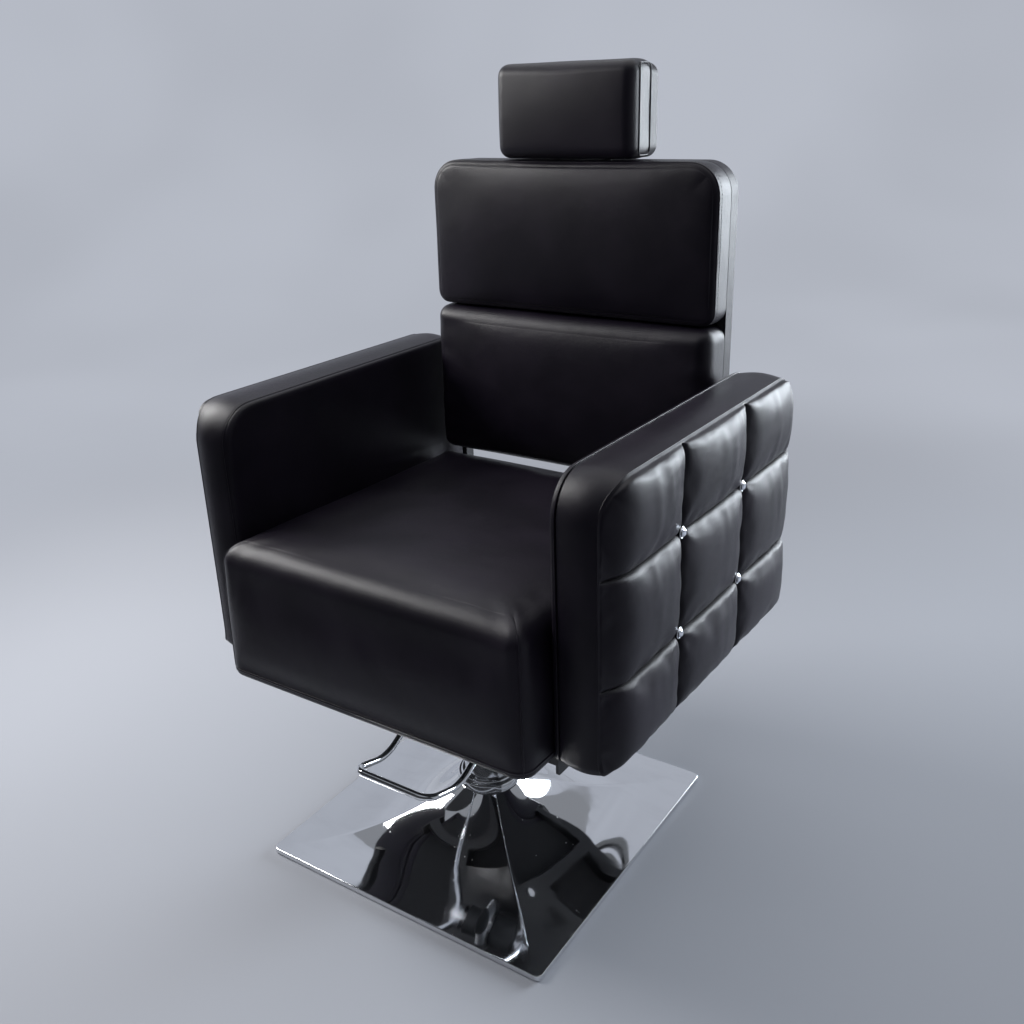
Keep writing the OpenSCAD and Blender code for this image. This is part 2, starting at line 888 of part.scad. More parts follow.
module thrust_washer() {
    color("#b9954f")
        translate([0, 0, ram_top])
            difference() {
                cylinder(r = washer_r, h = washer_t);
                translate([0, 0, -over]) cylinder(r = spigot_r, h = washer_t + 2 * over);
            }
}

// Seat frame

// Flared hub that turns on the ram's spigot. Its top is cut to the plate's slope.
module seat_hub() {
    foot = ram_top + washer_t + play;
    reach = spigot_r + hub_wall + hub_flare;
    roof = ram_top + spigot_h + play;
    color("#2b2c2f")
        difference() {
            translate([0, 0, foot])
                rotate_extrude()
                    polygon([
                        [0, 0],
                        [spigot_r + hub_wall, 0],
                        [spigot_r + hub_wall, (roof - foot) / 3],
                        [reach, roof - foot],
                        [reach, roof + hub_roof - foot],
                        [0, roof + hub_roof - foot]
                    ]);
            translate([0, 0, foot - over]) cylinder(r = spigot_r + run, h = roof - foot + over);
            raked() translate([-plate_w / 2, -plate_l / 2, plate_z]) cube([plate_w, plate_l, hub_wall + hub_roof]);
        }
}

module mount_places() {
    for (x = [-1, 1], y = [-1, 1])
        translate([x * rail_x, y * mount_y, 0]) children();
}

module seat_plate() {
    color("#2b2c2f")
        raked()
            translate([0, 0, plate_z])
                difference() {
                    linear_extrude(plate_t) even_rect(plate_w, plate_l, plate_corner_r);
                    mount_places() translate([0, 0, -over]) cylinder(r = bolt_r, h = plate_t + 2 * over);
                }
}

module frame_rails() {
    start = front_tube_y + tube_w / 2;
    length = rear_tube_y - front_tube_y - tube_w;
    color("#1f2022")
        raked()
            difference() {
                mirrored_x()
                    translate([rail_x, start, tube_z + tube_w / 2])
                        rotate([-90, 0, 0]) square_tube(tube_w, tube_w, length, tube_wall);
                mount_places() translate([0, 0, tube_z - over]) cylinder(r = bolt_r, h = tube_w + 2 * over);
            }
}

module cross_tubes() {
    half = seat_w / 2 + ease;
    color("#1f2022")
        raked()
            for (y = [front_tube_y, rear_tube_y])
                translate([-half, y, tube_z + tube_w / 2])
                    along_x() square_tube(tube_w, tube_w, 2 * half, tube_wall);
}

module mount_bolts() {
    color("#8d9096")
        raked()
            mount_places()
                translate([0, 0, plate_z])
                    hex_bolt(bolt_r, plate_t + tube_w + mount_bite, bolt_head_r, bolt_head_h);
}

module seat_board() {
    inset = pocket_wrap + ease;
    color("#a9865a")
        raked()
            difference() {
                translate([0, (seat_front + seat_rear) / 2, seat_z])
                    linear_extrude(board_t)
                        even_rect(seat_w - 2 * inset, seat_d - 2 * inset, seat_corner_r);
                mount_places() translate([0, 0, seat_z - over]) cylinder(r = bolt_r, h = mount_bite + over);
            }
}

// Deep box cushion: an upright front, a full roll over its front edge and a low crown.
module seat_cushion() {
    rise = seat_rise;
    low_edge = seat_low_edge;
    lines = lines_between([0, 1], 14);
    color("#1b171c")
        raked()
            translate([0, (seat_front + seat_rear) / 2, seat_z])
                pad_body(
                    lines, lines, [seat_w, seat_d], [1, 1, 1, 1] * seat_corner_r,
                    concat(
                        pocket(pocket_wrap, board_t),
                        [[low_edge / 2, low_edge, low_edge / 2, 0, 0], [0, 0, 0, low_edge, 0]],
                        [[seat_tuck, 0, seat_tuck, seat_t / 2, seat_draw]],
                        rolled(seat_roll_side, seat_roll_front, seat_roll_rear, seat_t - rise, rise, 4)
                    ),
                    function (s, t) seat_crown * pillow(s, t)
                );
}

// Arms

module arm_places() {
    for (y = [front_tube_y, rear_tube_y]) translate([0, y, tube_z]) children();
}

module arm_bolt_places() {
    arm_places()
        for (k = [-1, 1])
            translate([seat_w / 2 + ease, k * arm_bolt_pitch / 2, tube_w + arm_bracket_h / 2 + arm_bolt_rise])
                along_x() children();
}

// Flat plates on the frame tubes' ends that stand between the cushion and the arm.
module arm_brackets() {
    height = tube_w + arm_bracket_h;
    color("#1f2022")
        raked()
            mirrored_x()
                difference() {
                    arm_places()
                        translate([seat_w / 2 + ease, 0, height / 2])
                            along_x()
                                linear_extrude(bracket_t)
                                    round_rect(arm_bracket_w, height, [bracket_t, bracket_t, tube_w / 2, tube_w / 2]);
                    arm_bolt_places() {
                        translate([0, 0, -over]) cylinder(r = arm_bolt_r, h = bracket_t + 2 * over);
                        cylinder(r1 = arm_bolt_head_r, r2 = arm_bolt_r, h = arm_bolt_head_r - arm_bolt_r);
                    }
                }
}

module arm_bolts() {
    color("#8d9096")
        raked()
            mirrored_x()
                arm_bolt_places() {
                    cylinder(r = arm_bolt_r, h = arm_bolt_l);
                    cylinder(r1 = arm_bolt_head_r, r2 = arm_bolt_r, h = arm_bolt_head_r - arm_bolt_r);
                }
}

module arm_slab(x, t, inset, radii) {
    translate([x, arm_mid_y, arm_mid_z])
        along_x() linear_extrude(t) round_rect(arm_l - 2 * inset, arm_h - 2 * inset, radii);
}

module arm_bolt_bores() {
    arm_bolt_places() cylinder(r = arm_bolt_r, h = arm_bolt_l);
}

module arm_core() {
    inset = arm_wrap + ease;
    raked()
        difference() {
            arm_slab(arm_in + lining_t, board_t, inset, arm_corner_r);
            arm_bolt_bores();
        }
}

module arm_lining() {
    raked()
        difference() {
            arm_slab(arm_in, lining_t, 0, arm_corner_r);
            arm_bolt_bores();
        }
}

// Tufted outer box: a flat boxing strip round the core and nine swells on the outer face, drawn
// down along two upright and two level seams.
module arm_pad() {
    depth = arm_t - lining_t;
    raked()
        translate([arm_in + lining_t, arm_mid_y, arm_mid_z])
            along_x()
                pad_body(
                    lines_between(tuft_y_shares, tuft_cells),
                    lines_between(tuft_z_shares, tuft_cells),
                    [arm_l, arm_h], arm_corner_r,
                    concat(
                        pocket(arm_wrap, board_t),
                        [[0, 0, 0, 0, 0], [-arm_bulge, -arm_bulge, -arm_bulge, depth / 2, 0]],
                        rolled(arm_edge, arm_edge, arm_edge, depth - arm_edge, arm_edge, 3)
                    ),
                    function (s, t) tuft_puff * swell(s, tuft_y_shares) * swell(t, tuft_z_shares)
                );
}

// Cut crystals on short stems, one where each upright seam crosses a level one.
module arm_buttons() {
    raked()
        translate([arm_in + arm_t, arm_mid_y, arm_mid_z])
            along_x()
                for (i = [1, 2], j = [1, 2])
                    translate([
                        (2 * tuft_y_shares[i] - 1) * (arm_l / 2 - arm_edge),
                        (2 * tuft_z_shares[j] - 1) * (arm_h / 2 - arm_edge),
                        play / 2
                    ]) {
                        cylinder(r1 = button_stem_r / 4, r2 = button_stem_r, h = button_stem_h);
                        translate([0, 0, button_stem_h])
                            cylinder(r1 = button_r, r2 = button_r * button_top_share, h = button_h, $fn = 8);
                    }
}

module left_arm_core() { color("#a9865a") arm_core(); }
module right_arm_core() { color("#a9865a") mirror([1, 0, 0]) arm_core(); }
module left_arm_lining() { color("#17151a") arm_lining(); }
module right_arm_lining() { color("#17151a") mirror([1, 0, 0]) arm_lining(); }
module left_arm_pad() { color("#1a181d") arm_pad(); }
module right_arm_pad() { color("#1a181d") mirror([1, 0, 0]) arm_pad(); }
module left_arm_buttons() { color("#dfe6f0") arm_buttons(); }
module right_arm_buttons() { color("#dfe6f0") mirror([1, 0, 0]) arm_buttons(); }

// Recline hinge

// Cranked plates from the rear cross tube up to the hinge, outside the back's uprights.
module hinge_brackets() {
    back_face = rear_tube_y + tube_w / 2;
    color("#1f2022")
        raked()
            mirrored_x()
                translate([hinge_plate_x, 0, 0])
                    along_x()
                        linear_extrude(hinge_plate_t)
                            difference() {
                                union() {
                                    translate([hinge_y, hinge_z]) circle(hinge_ring);
                                    polygon([
                                        [back_face, tube_z],
                                        [back_face + 2 * hinge_ring, tube_z],
                                        [hinge_y + hinge_ring, hinge_z],
                                        [hinge_y - hinge_ring, hinge_z],
                                        [back_face + hinge_ring / 2, tube_top],
                                        [back_face, tube_top]
                                    ]);
                                }
                                translate([hinge_y, hinge_z]) circle(hinge_r);
                            }
}

module hinge_bolts() {
    color("#b4b7bc")
        raked()
            mirrored_x()
                translate([upright_x + play, hinge_y, hinge_z])
                    along_x() {
                        cylinder(r = hinge_r, h = hinge_plate_x + hinge_plate_t - upright_x);
                        translate([0, 0, hinge_plate_x + hinge_plate_t - upright_x - play])
                            cylinder(r = hinge_head_r, h = hinge_head_t, $fn = 6);
                    }
}

// Back frame

module back_uprights() {
    color("#1f2022")
        on_back()
            mirrored_x()
                translate([upright_x, 0, 0])
                    along_x()
                        linear_extrude(upright_t)
                            difference() {
                                union() {
                                    circle(upright_foot);
                                    translate([-upright_d / 2, 0])
                                        square([upright_d, upright_top]);
                                }
                                circle(hinge_r + run);
                            }
}

module torque_tube() {
    color("#1f2022")
        on_back()
            translate([-upright_x, 0, 0])
                along_x()
                    difference() {
                        cylinder(r = torque_r, h = 2 * upright_x);
                        translate([0, 0, -over])
                            cylinder(r = torque_r - torque_wall, h = 2 * (upright_x + over));
                    }
}

// Two plates under the torque tube with the pin that the strut's rear eye rides on.
module strut_lug() {
    angle = lug_angle + back_lean;
    color("#2b2c2f")
        on_back()
            rotate([angle, 0, 0])
                translate([strut_x, 0, 0]) {
                    for (side = [-1, 1])
                        translate([side * (lug_gap + lug_t) / 2 - lug_t / 2, 0, 0])
                            along_x()
                                linear_extrude(lug_t)
                                    difference() {
                                        union() {
                                            translate([0, -lug_r]) circle(2 * strut_pin_r);
                                            polygon([
                                                [-torque_r, 0],
                                                [-2 * strut_pin_r, -lug_r],
                                                [2 * strut_pin_r, -lug_r],
                                                [torque_r, 0]
                                            ]);
                                        }
                                        circle(torque_r);
                                    }
                    translate([-lug_gap / 2 - lug_t, 0, -lug_r])
                        along_x() cylinder(r = strut_pin_r, h = lug_gap + 2 * lug_t);
                }
}

module sleeve_places() {
    for (x = [-1, 1]) translate([x * post_gap / 2, 0, 0]) children();
}

module back_crossbars() {
    color("#1f2022")
        on_back()
            difference() {
                for (z = bar_z)
                    translate([-upright_x, 0, z]) along_x() square_tube(upright_d, upright_d, 2 * upright_x, tube_wall);
                sleeve_places()
                    translate([0, 0, sleeve_z]) cylinder(r = guide_sleeve_r, h = sleeve_l);
            }
}

module headrest_guides() {
    color("#2b2c2f")
        on_back()
            sleeve_places()
                translate([0, 0, sleeve_z])
                    difference() {
                        cylinder(r = guide_sleeve_r, h = sleeve_l);
                        translate([0, 0, -over]) cylinder(r = post_r + run, h = sleeve_l + 2 * over);
                    }
}

module back_board(z, h) {
    inset = back_wrap + ease;
    color("#a9865a")
        on_back()
            translate([0, -upright_d / 2, z + h / 2])
                rotate([90, 0, 0])
                    linear_extrude(back_board_t)
                        even_rect(back_w - 2 * inset, h - 2 * inset, back_corner_low);
}

module lower_back_board() { back_board(lower_back_z, lower_back_h); }

module upper_back_board() {
    inset = back_wrap + ease;
    corners = [back_corner_low, back_corner_low, back_corner_top, back_corner_top];
    color("#a9865a")
        on_back()
            translate([0, -upright_d / 2, upper_back_z + upper_back_h / 2])
                rotate([90, 0, 0])
                    linear_extrude(back_board_t)
                        round_rect(back_w - 2 * inset, upper_back_h - 2 * inset, corners);
}

module back_pad(z, size, radii, depth, edge, lift) {
    color("#1b171c")
        on_back()
            translate([0, -upright_d / 2, z + size[1] / 2])
                rotate([90, 0, 0])
                    pad_body(
                        lines_between([0, 1], 16), lines_between([0, 1], 10), size, radii,
                        concat(
                            pocket(back_wrap, back_board_t),
                            [[0, 0, 0, 0, 0], [0, 0, 0, depth / 2, back_draw]],
                            rolled(edge, edge, edge, depth + back_board_t - edge, edge, 3)
                        ),
                        function (s, t) lift * pillow(s, t)
                    );
}

module lower_back_pad() {
    back_pad(
        lower_back_z, [back_w, lower_back_h], [1, 1, 1, 1] * back_corner_low,
        lower_back_d, lower_back_edge, back_crown
    );
}

module upper_back_pad() {
    back_pad(
        upper_back_z, [back_w, upper_back_h],
        [back_corner_low, back_corner_low, back_corner_top, back_corner_top],
        upper_back_d, upper_back_edge, back_crown
    );
}

// Rear cover of the back: a shallow tray over the frame, open to the front and below the hinge zone.
module back_shell() {
    height = back_top - shell_foot;
    depth = upright_d / 2 + shell_rear;
    corners = [back_corner_low, back_corner_low, back_corner_top, back_corner_top];
    color("#17151a")
        on_back()
            difference() {
                translate([0, shell_rear, shell_foot + height / 2])
                    rotate([90, 0, 0]) linear_extrude(depth) round_rect(back_w, height, corners);
                translate([0, shell_rear - shell_t, shell_foot + height / 2])
                    rotate([90, 0, 0])
                        linear_extrude(depth)
                            round_rect(
                                back_w - 2 * shell_t, height - 2 * shell_t,
                                [for (r = corners) r - shell_t]
                            );
                mirrored_x()
                    translate([upright_x - ease, -upright_d / 2 - over, shell_foot - over])
                        cube([upright_t + 2 * ease, upright_d + over + shell_clear, back_corner_low + over]);
                sleeve_places()
                    translate([0, 0, back_top - shell_t - over]) cylinder(r = post_r + ease, h = shell_t + 2 * over);
            }
}

// Headrest

module headrest_posts() {
    color("#d4d7dc")
        on_back()
            sleeve_places()
                translate([0, 0, post_foot]) cylinder(r = post_r, h = post_top - post_foot);
}

module headrest_bracket() {
    color("#2b2c2f")
        on_back()
            difference() {
                translate([0, headrest_face + headrest_plate_t, headrest_z + headrest_h / 2])
                    rotate([90, 0, 0])
                        linear_extrude(headrest_plate_t)
                            even_rect(headrest_plate_w, headrest_plate_h, headrest_corner_r / 2);
                sleeve_places()
                    translate([0, 0, post_foot]) cylinder(r = post_r, h = post_top - post_foot);
            }
}

module headrest_board() {
    inset = headrest_wrap + ease;
    color("#a9865a")
        on_back()
            translate([0, headrest_face, headrest_z + headrest_h / 2])
                rotate([90, 0, 0])
                    linear_extrude(headrest_board_t)
                        even_rect(head_w - 2 * inset, headrest_h - 2 * inset, headrest_corner_r);
}

module headrest_pad() {
    edge = headrest_edge;
    color("#1b171c")
        on_back()
            translate([0, headrest_face, headrest_z + headrest_h / 2])
                rotate([90, 0, 0])
                    pad_body(
                        lines_between([0, 1], 12), lines_between([0, 1], 8),
                        [head_w, headrest_h], [1, 1, 1, 1] * headrest_corner_r,
                        concat(
                            pocket(headrest_wrap, headrest_board_t),
                            [[0, 0, 0, 0, 0], [0, 0, 0, headrest_d / 2, back_draw]],
                            rolled(edge, edge, edge, headrest_d + headrest_board_t - edge, edge, 3)
                        ),
                        function (s, t) headrest_crown * pillow(s, t)
                    );
}

module headrest_shell() {
    depth = headrest_shell_rear - headrest_face;
    color("#17151a")
        on_back()
            difference() {
                translate([0, headrest_shell_rear, headrest_z + headrest_h / 2])
                    rotate([90, 0, 0]) linear_extrude(depth) even_rect(head_w, headrest_h, headrest_corner_r);
                translate([0, headrest_shell_rear - shell_t, headrest_z + headrest_h / 2])
                    rotate([90, 0, 0])
                        linear_extrude(depth)
                            even_rect(head_w - 2 * shell_t, headrest_h - 2 * shell_t, headrest_corner_r - shell_t);
                sleeve_places()
                    translate([0, 0, headrest_z - over]) cylinder(r = post_r + ease, h = shell_t + 2 * over);
            }
}

// Gas strut

module at_clevis() {
    raked()
        translate([strut_x, clevis_y, clevis_z]) children();
}

// Runs along the strut from its front pin to its rear eye.
module along_strut() {
    at_clevis() rotate([strut_tilt - 90, 0, 0]) children();
}

// Two ears under the seat plate with the strut's front pin.
module strut_clevis() {
    width = 4 * strut_pin_r;
    color("#2b2c2f")
        at_clevis() {
            for (side = [-1, 1])
                translate([side * (lug_gap + clevis_t) / 2 - clevis_t / 2, 0, 0])
                    along_x()
                        linear_extrude(clevis_t)
                            difference() {
                                union() {
                                    circle(width / 2);
                                    translate([-width / 2, 0]) square([width, plate_z - clevis_z]);
                                }
                                circle(strut_pin_r);
                            }
            translate([-lug_gap / 2 - clevis_t, 0, 0])
                along_x() cylinder(r = strut_pin_r, h = lug_gap + 2 * clevis_t);
        }
}

module strut_rod() {
    tail = strut_front + strut_wall + strut_piston_l;
    color("#d4d7dc")
        along_strut()
            difference() {
                union() {
                    translate([-eye_w / 2, 0, 0]) along_x() cylinder(r = rod_eye_r, h = eye_w);
                    cylinder(r = strut_rod_r, h = tail);
                    translate([0, 0, strut_front + strut_wall + play])
                        cylinder(r = strut_bore_r - run, h = strut_piston_l);
                    translate([0, 0, -rod_eye_r - valve_r]) cylinder(r = valve_r, h = rod_eye_r + valve_r);
                }
                translate([-eye_w / 2 - over, 0, 0]) along_x() cylinder(r = strut_pin_r + run, h = eye_w + 2 * over);
            }
}

module strut_cylinder() {
    color("#17181a")
        along_strut()
            difference() {
                union() {
                    translate([0, 0, strut_front]) cylinder(r = strut_r, h = strut_rear - strut_front);
                    translate([0, 0, strut_rear - over])
                        cylinder(r = strut_neck_r, h = strut_l - strut_rear + over);
                    translate([-eye_w / 2, 0, strut_l]) along_x() cylinder(r = eye_r, h = eye_w);
                }
                translate([-eye_w / 2 - over, 0, strut_l])
                    along_x() cylinder(r = strut_pin_r + eye_slack, h = eye_w + 2 * over);
                translate([0, 0, strut_front - over])
                    cylinder(r = strut_rod_r + run, h = strut_wall + 2 * over);
                translate([0, 0, strut_front + strut_wall])
                    cylinder(r = strut_bore_r, h = strut_rear - strut_front - 2 * strut_wall);
            }
}

// Release lever

module lever_brackets() {
    height = plate_z - lever_z;
    color("#2b2c2f")
        raked()
            for (x = lever_plate_x)
                translate([x, lever_y, lever_z])
                    along_x()
                        linear_extrude(lever_plate_t)
                            difference() {
                                union() {
                                    circle(lever_plate_w / 2);
                                    translate([-lever_plate_w / 2, 0])
                                        square([lever_plate_w, height]);
                                }
                                circle(lever_r + run);
                            }
}

module handle_outline() {
    polygon([
        [0, lever_eye_share * lever_r],
        [-lever_l, lever_r],
        [-lever_l, -lever_r],
        [0, -lever_eye_share * lever_r]
    ]);
}

// Cross shaft with the cam at the strut's valve and a flat handle out under the right arm.
module recline_lever() {
    color("#c2c5ca")
        raked() {
            translate([-lever_out, lever_y, lever_z])
                along_x() cylinder(r = lever_r, h = lever_out + lever_in);
            translate([strut_x - lever_cam_w / 2, lever_y, lever_z])
                along_x()
                    linear_extrude(lever_cam_w)
                        union() {
                            circle(cam_share * lever_r);
                            translate([-lever_r, 0]) square([2 * lever_r, lever_drop + cam_past]);
                            translate([0, lever_drop + cam_past]) circle(lever_r);
                        }
            translate([-lever_out, lever_y, lever_z])
                along_x()
                    linear_extrude(lever_t)
                        union() {
                            circle(lever_eye_share * lever_r);
                            handle_outline();
                        }
        }
}

// Rounded hand grip over the end of the handle.
module lever_grip() {
    tip = lever_l + grip_past;
    color("#121214")
        raked()
            difference() {
                translate([lever_t / 2 - lever_out, lever_y - tip + grip_l / 2, lever_z])
                    rotate([90, 0, 0])
                        translate([0, 0, -grip_l / 2])
                            linear_extrude(grip_l) even_rect(grip_t, grip_w, grip_t / 2 - grip_edge);
                translate([-lever_out, lever_y, lever_z])
                    along_x()
                        linear_extrude(lever_t)
                            handle_outline();
            }
}

floor_pads();
ballast_plate();
base_cover();
column_flange();
flange_bolts();
column_tube();
collar_ring();
pump_cylinder();
pump_head();
ram_gland();
pump_spring();
pedal_shaft();
pedal_bar();
pump_rocker();
pump_plunger();
ram();
ram_piston();
piston_ring();
thrust_washer();
seat_hub();
seat_plate();
frame_rails();
cross_tubes();
mount_bolts();
seat_board();
seat_cushion();
arm_brackets();
arm_bolts();
left_arm_core();
right_arm_core();
left_arm_lining();
right_arm_lining();
left_arm_pad();
right_arm_pad();
left_arm_buttons();
right_arm_buttons();
hinge_brackets();
hinge_bolts();
strut_clevis();
lever_brackets();
recline_lever();
lever_grip();
back_uprights();
torque_tube();
strut_lug();
back_crossbars();
headrest_guides();
lower_back_board();
upper_back_board();
lower_back_pad();
upper_back_pad();
back_shell();
headrest_posts();
headrest_bracket();
headrest_board();
headrest_pad();
headrest_shell();
strut_rod();
strut_cylinder();
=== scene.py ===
"""Looks of a threading chair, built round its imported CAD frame.

The chair has a mirror-bright square pump base, a deep box seat between two tufted arms, a back of
two cushions and a headrest on posts. Every length is in metres in the frame of the CAD part: the
floor is z = 0, the column stands on the origin and the sitter faces -Y.
"""

from __future__ import annotations

import json
import logging
import math
from dataclasses import dataclass, field
from enum import Enum
from typing import Any, Callable, Mapping, Sequence, Union

import bpy
import numpy as np
from mathutils import Matrix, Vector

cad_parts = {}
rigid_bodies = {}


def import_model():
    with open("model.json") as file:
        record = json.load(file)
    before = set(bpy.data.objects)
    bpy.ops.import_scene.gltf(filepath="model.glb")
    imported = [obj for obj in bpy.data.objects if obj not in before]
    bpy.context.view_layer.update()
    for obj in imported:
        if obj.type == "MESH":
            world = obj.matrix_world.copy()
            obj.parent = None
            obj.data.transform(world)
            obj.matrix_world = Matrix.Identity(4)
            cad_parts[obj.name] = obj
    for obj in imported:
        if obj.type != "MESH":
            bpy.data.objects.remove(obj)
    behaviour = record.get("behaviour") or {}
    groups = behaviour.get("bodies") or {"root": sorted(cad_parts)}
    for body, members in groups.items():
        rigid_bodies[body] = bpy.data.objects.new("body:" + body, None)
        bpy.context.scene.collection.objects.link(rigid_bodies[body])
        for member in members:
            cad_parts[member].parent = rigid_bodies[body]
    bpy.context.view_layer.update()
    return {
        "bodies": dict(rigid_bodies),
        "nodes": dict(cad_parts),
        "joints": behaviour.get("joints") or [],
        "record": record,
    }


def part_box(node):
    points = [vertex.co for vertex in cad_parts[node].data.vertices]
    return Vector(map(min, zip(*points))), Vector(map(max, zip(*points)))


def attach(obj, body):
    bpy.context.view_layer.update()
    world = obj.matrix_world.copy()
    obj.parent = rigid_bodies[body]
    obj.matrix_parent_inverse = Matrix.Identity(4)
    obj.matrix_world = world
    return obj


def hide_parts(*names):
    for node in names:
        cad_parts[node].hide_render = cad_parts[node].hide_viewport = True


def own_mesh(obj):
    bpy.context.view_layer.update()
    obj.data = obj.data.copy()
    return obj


LOG = logging.getLogger("chair")
Array = np.ndarray


# Shader graph


class Socket:
    """One output of a shader node, with the arithmetic that adds Math nodes behind it."""

    def __init__(self, graph: "Graph", link: bpy.types.NodeSocket) -> None:
        """Keeps the graph and the output that this wraps."""
        self.graph = graph
        self.link = link

    def _math(self, operation: str, *values: "Value") -> "Socket":
        """A Math node of that operation on the given values."""
        inputs = dict(enumerate(values))
        return self.graph.node("ShaderNodeMath", {"operation": operation}, inputs)

    def __add__(self, other: "Value") -> "Socket":
        """Sum."""
        return self._math("ADD", self, other)

    __radd__ = __add__

    def __sub__(self, other: "Value") -> "Socket":
        """Difference."""
        return self._math("SUBTRACT", self, other)

    def __rsub__(self, other: "Value") -> "Socket":
        """Difference from a number."""
        return self._math("SUBTRACT", other, self)

    def __mul__(self, other: "Value") -> "Socket":
        """Product."""
        return self._math("MULTIPLY", self, other)

    __rmul__ = __mul__

    def sine(self) -> "Socket":
        """Sine of the value in radians."""
        return self._math("SINE", self)

    def between(self, low: float, high: float) -> "Socket":
        """The value's share of the way from low to high, smoothed and kept within 0 and 1."""
        return self.graph.node(
            "ShaderNodeMapRange",
            {"interpolation_type": "SMOOTHSTEP"},
            {"Value": self, "From Min": low, "From Max": high},
        )


Value = Union[Socket, float]
Colour = tuple[float, float, float]


class Graph:
    """A material's node tree, filled by expressions."""

    def __init__(self, name: str) -> None:
        """Starts an empty tree under that material name."""
        self.material = bpy.data.materials.new(name)
        self.material.use_nodes = True
        self.tree = self.material.node_tree
        self.tree.nodes.clear()
        self.place = self.node("ShaderNodeTexCoord", outlet="Object")

    def node(
        self,
        kind: str,
        settings: Mapping[str, Any] | None = None,
        inputs: Mapping[str | int, Any] | None = None,
        outlet: str | int = 0,
    ) -> Socket:
        """Adds a node.

        Args:
            kind: the node's type name.
            settings: its own settings, set first.
            inputs: values or Sockets by input name, identifier or place.
            outlet: which output to hand back, by name, identifier or place.

        Returns:
            The chosen output.
        """
        made = self.tree.nodes.new(kind)
        for key, value in (settings or {}).items():
            setattr(made, key, value)
        for key, value in (inputs or {}).items():
            target = self._find(made.inputs, key)
            if isinstance(value, Socket):
                self.tree.links.new(value.link, target)
            elif isinstance(value, tuple) and target.type == "RGBA" and len(value) == 3:
                target.default_value = (*value, 1.0)
            else:
                target.default_value = value
        return Socket(self, self._find(made.outputs, outlet))

    @staticmethod
    def _find(sockets: Any, key: str | int) -> bpy.types.NodeSocket:
        """Looks a socket up.

        Args:
            sockets: a node's inputs or outputs.
            key: the socket's place, identifier or name.

        Returns:
            The socket; an identifier goes before a name.
        """
        if isinstance(key, int):
            return sockets[key]
        by_identifier = [s for s in sockets if s.identifier == key]
        return (by_identifier or [s for s in sockets if s.name == key])[0]

    def noise(self, scale: float, detail: float = 2.0, stretch: Colour = (1.0, 1.0, 1.0)) -> Socket:
        """Soft noise of that many bumps a metre, stretched along the axes."""
        vector = self.node("ShaderNodeMapping", None, {"Vector": self.place, "Scale": stretch})
        inputs = {"Vector": vector, "Scale": scale, "Detail": detail}
        return self.node("ShaderNodeTexNoise", None, inputs)

    def cells(self, scale: float, blur: float = 0.0) -> Socket:
        """Pattern of cells.

        Args:
            scale: cells a metre.
            blur: share of noise, 0.6 times as fine, in the place that the cells are read at.

        Returns:
            The distance from the nearest cell's middle.
        """
        vector = self.place
        if blur:
            inputs = {"Vector": self.place, "Scale": scale * 0.6}
            wobble = self.node("ShaderNodeTexNoise", None, inputs, "Color")
            vector = self.node(
                "ShaderNodeMix",
                {"data_type": "VECTOR"},
                {"Factor_Float": blur, "A_Vector": self.place, "B_Vector": wobble},
                "Result_Vector",
            )
        return self.node("ShaderNodeTexVoronoi", None, {"Vector": vector, "Scale": scale})

    def mixed(self, share: Value, low: Socket | Colour, high: Socket | Colour) -> Socket:
        """Colour between low and high."""
        return self.node(
            "ShaderNodeMix",
            {"data_type": "RGBA"},
            {"Factor_Float": share, "A_Color": low, "B_Color": high},
            "Result_Color",
        )

    def attribute(self, name: str) -> Socket:
        """A number kept on the mesh's points under that name."""
        return self.node("ShaderNodeAttribute", {"attribute_name": name}, None, "Fac")

    def bump(
        self, height: Value, reach: float, strength: float = 1.0, under: Socket | None = None
    ) -> Socket:
        """Adds a bump.

        Args:
            height: how high the surface stands, from 0 to 1.
            reach: the height in metres that 1 stands for.
            strength: the bump's strength.
            under: a coarser or finer bump to lay it on.

        Returns:
            The surface normal.
        """
        inputs = {"Height": height, "Distance": reach, "Strength": strength}
        if under is not None:
            inputs["Normal"] = under
        return self.node("ShaderNodeBump", None, inputs, "Normal")

    def surface(self, **inputs: Any) -> bpy.types.Material:
        """Closes the tree with a Principled shader; underscores in the names stand for spaces."""
        named = {key.replace("_", " "): value for key, value in inputs.items()}
        return self.close(self.node("ShaderNodeBsdfPrincipled", None, named, "BSDF"))

    def close(self, shader: Socket) -> bpy.types.Material:
        """Ends the tree.

        Args:
            shader: the shader that the surface shows.

        Returns:
            The finished material.
        """
        end = self.tree.nodes.new("ShaderNodeOutputMaterial")
        self.tree.links.new(shader.link, end.inputs["Surface"])
        return self.material


# Finishes


class Finish:
    """A finish that is made into a material once and then shared."""

    def make(self) -> bpy.types.Material:
        """Builds the material."""
        raise NotImplementedError

    def material(self) -> bpy.types.Material:
        """The finish's one material."""
        return bpy.data.materials.get(self.label) or self.make()

    def dress(self, *objects: bpy.types.Object) -> None:
        """Gives objects this finish alone.

        Args:
            objects: what wears it.
        """
        for obj in objects:
            obj.data.materials.clear()
            obj.data.materials.append(self.material())


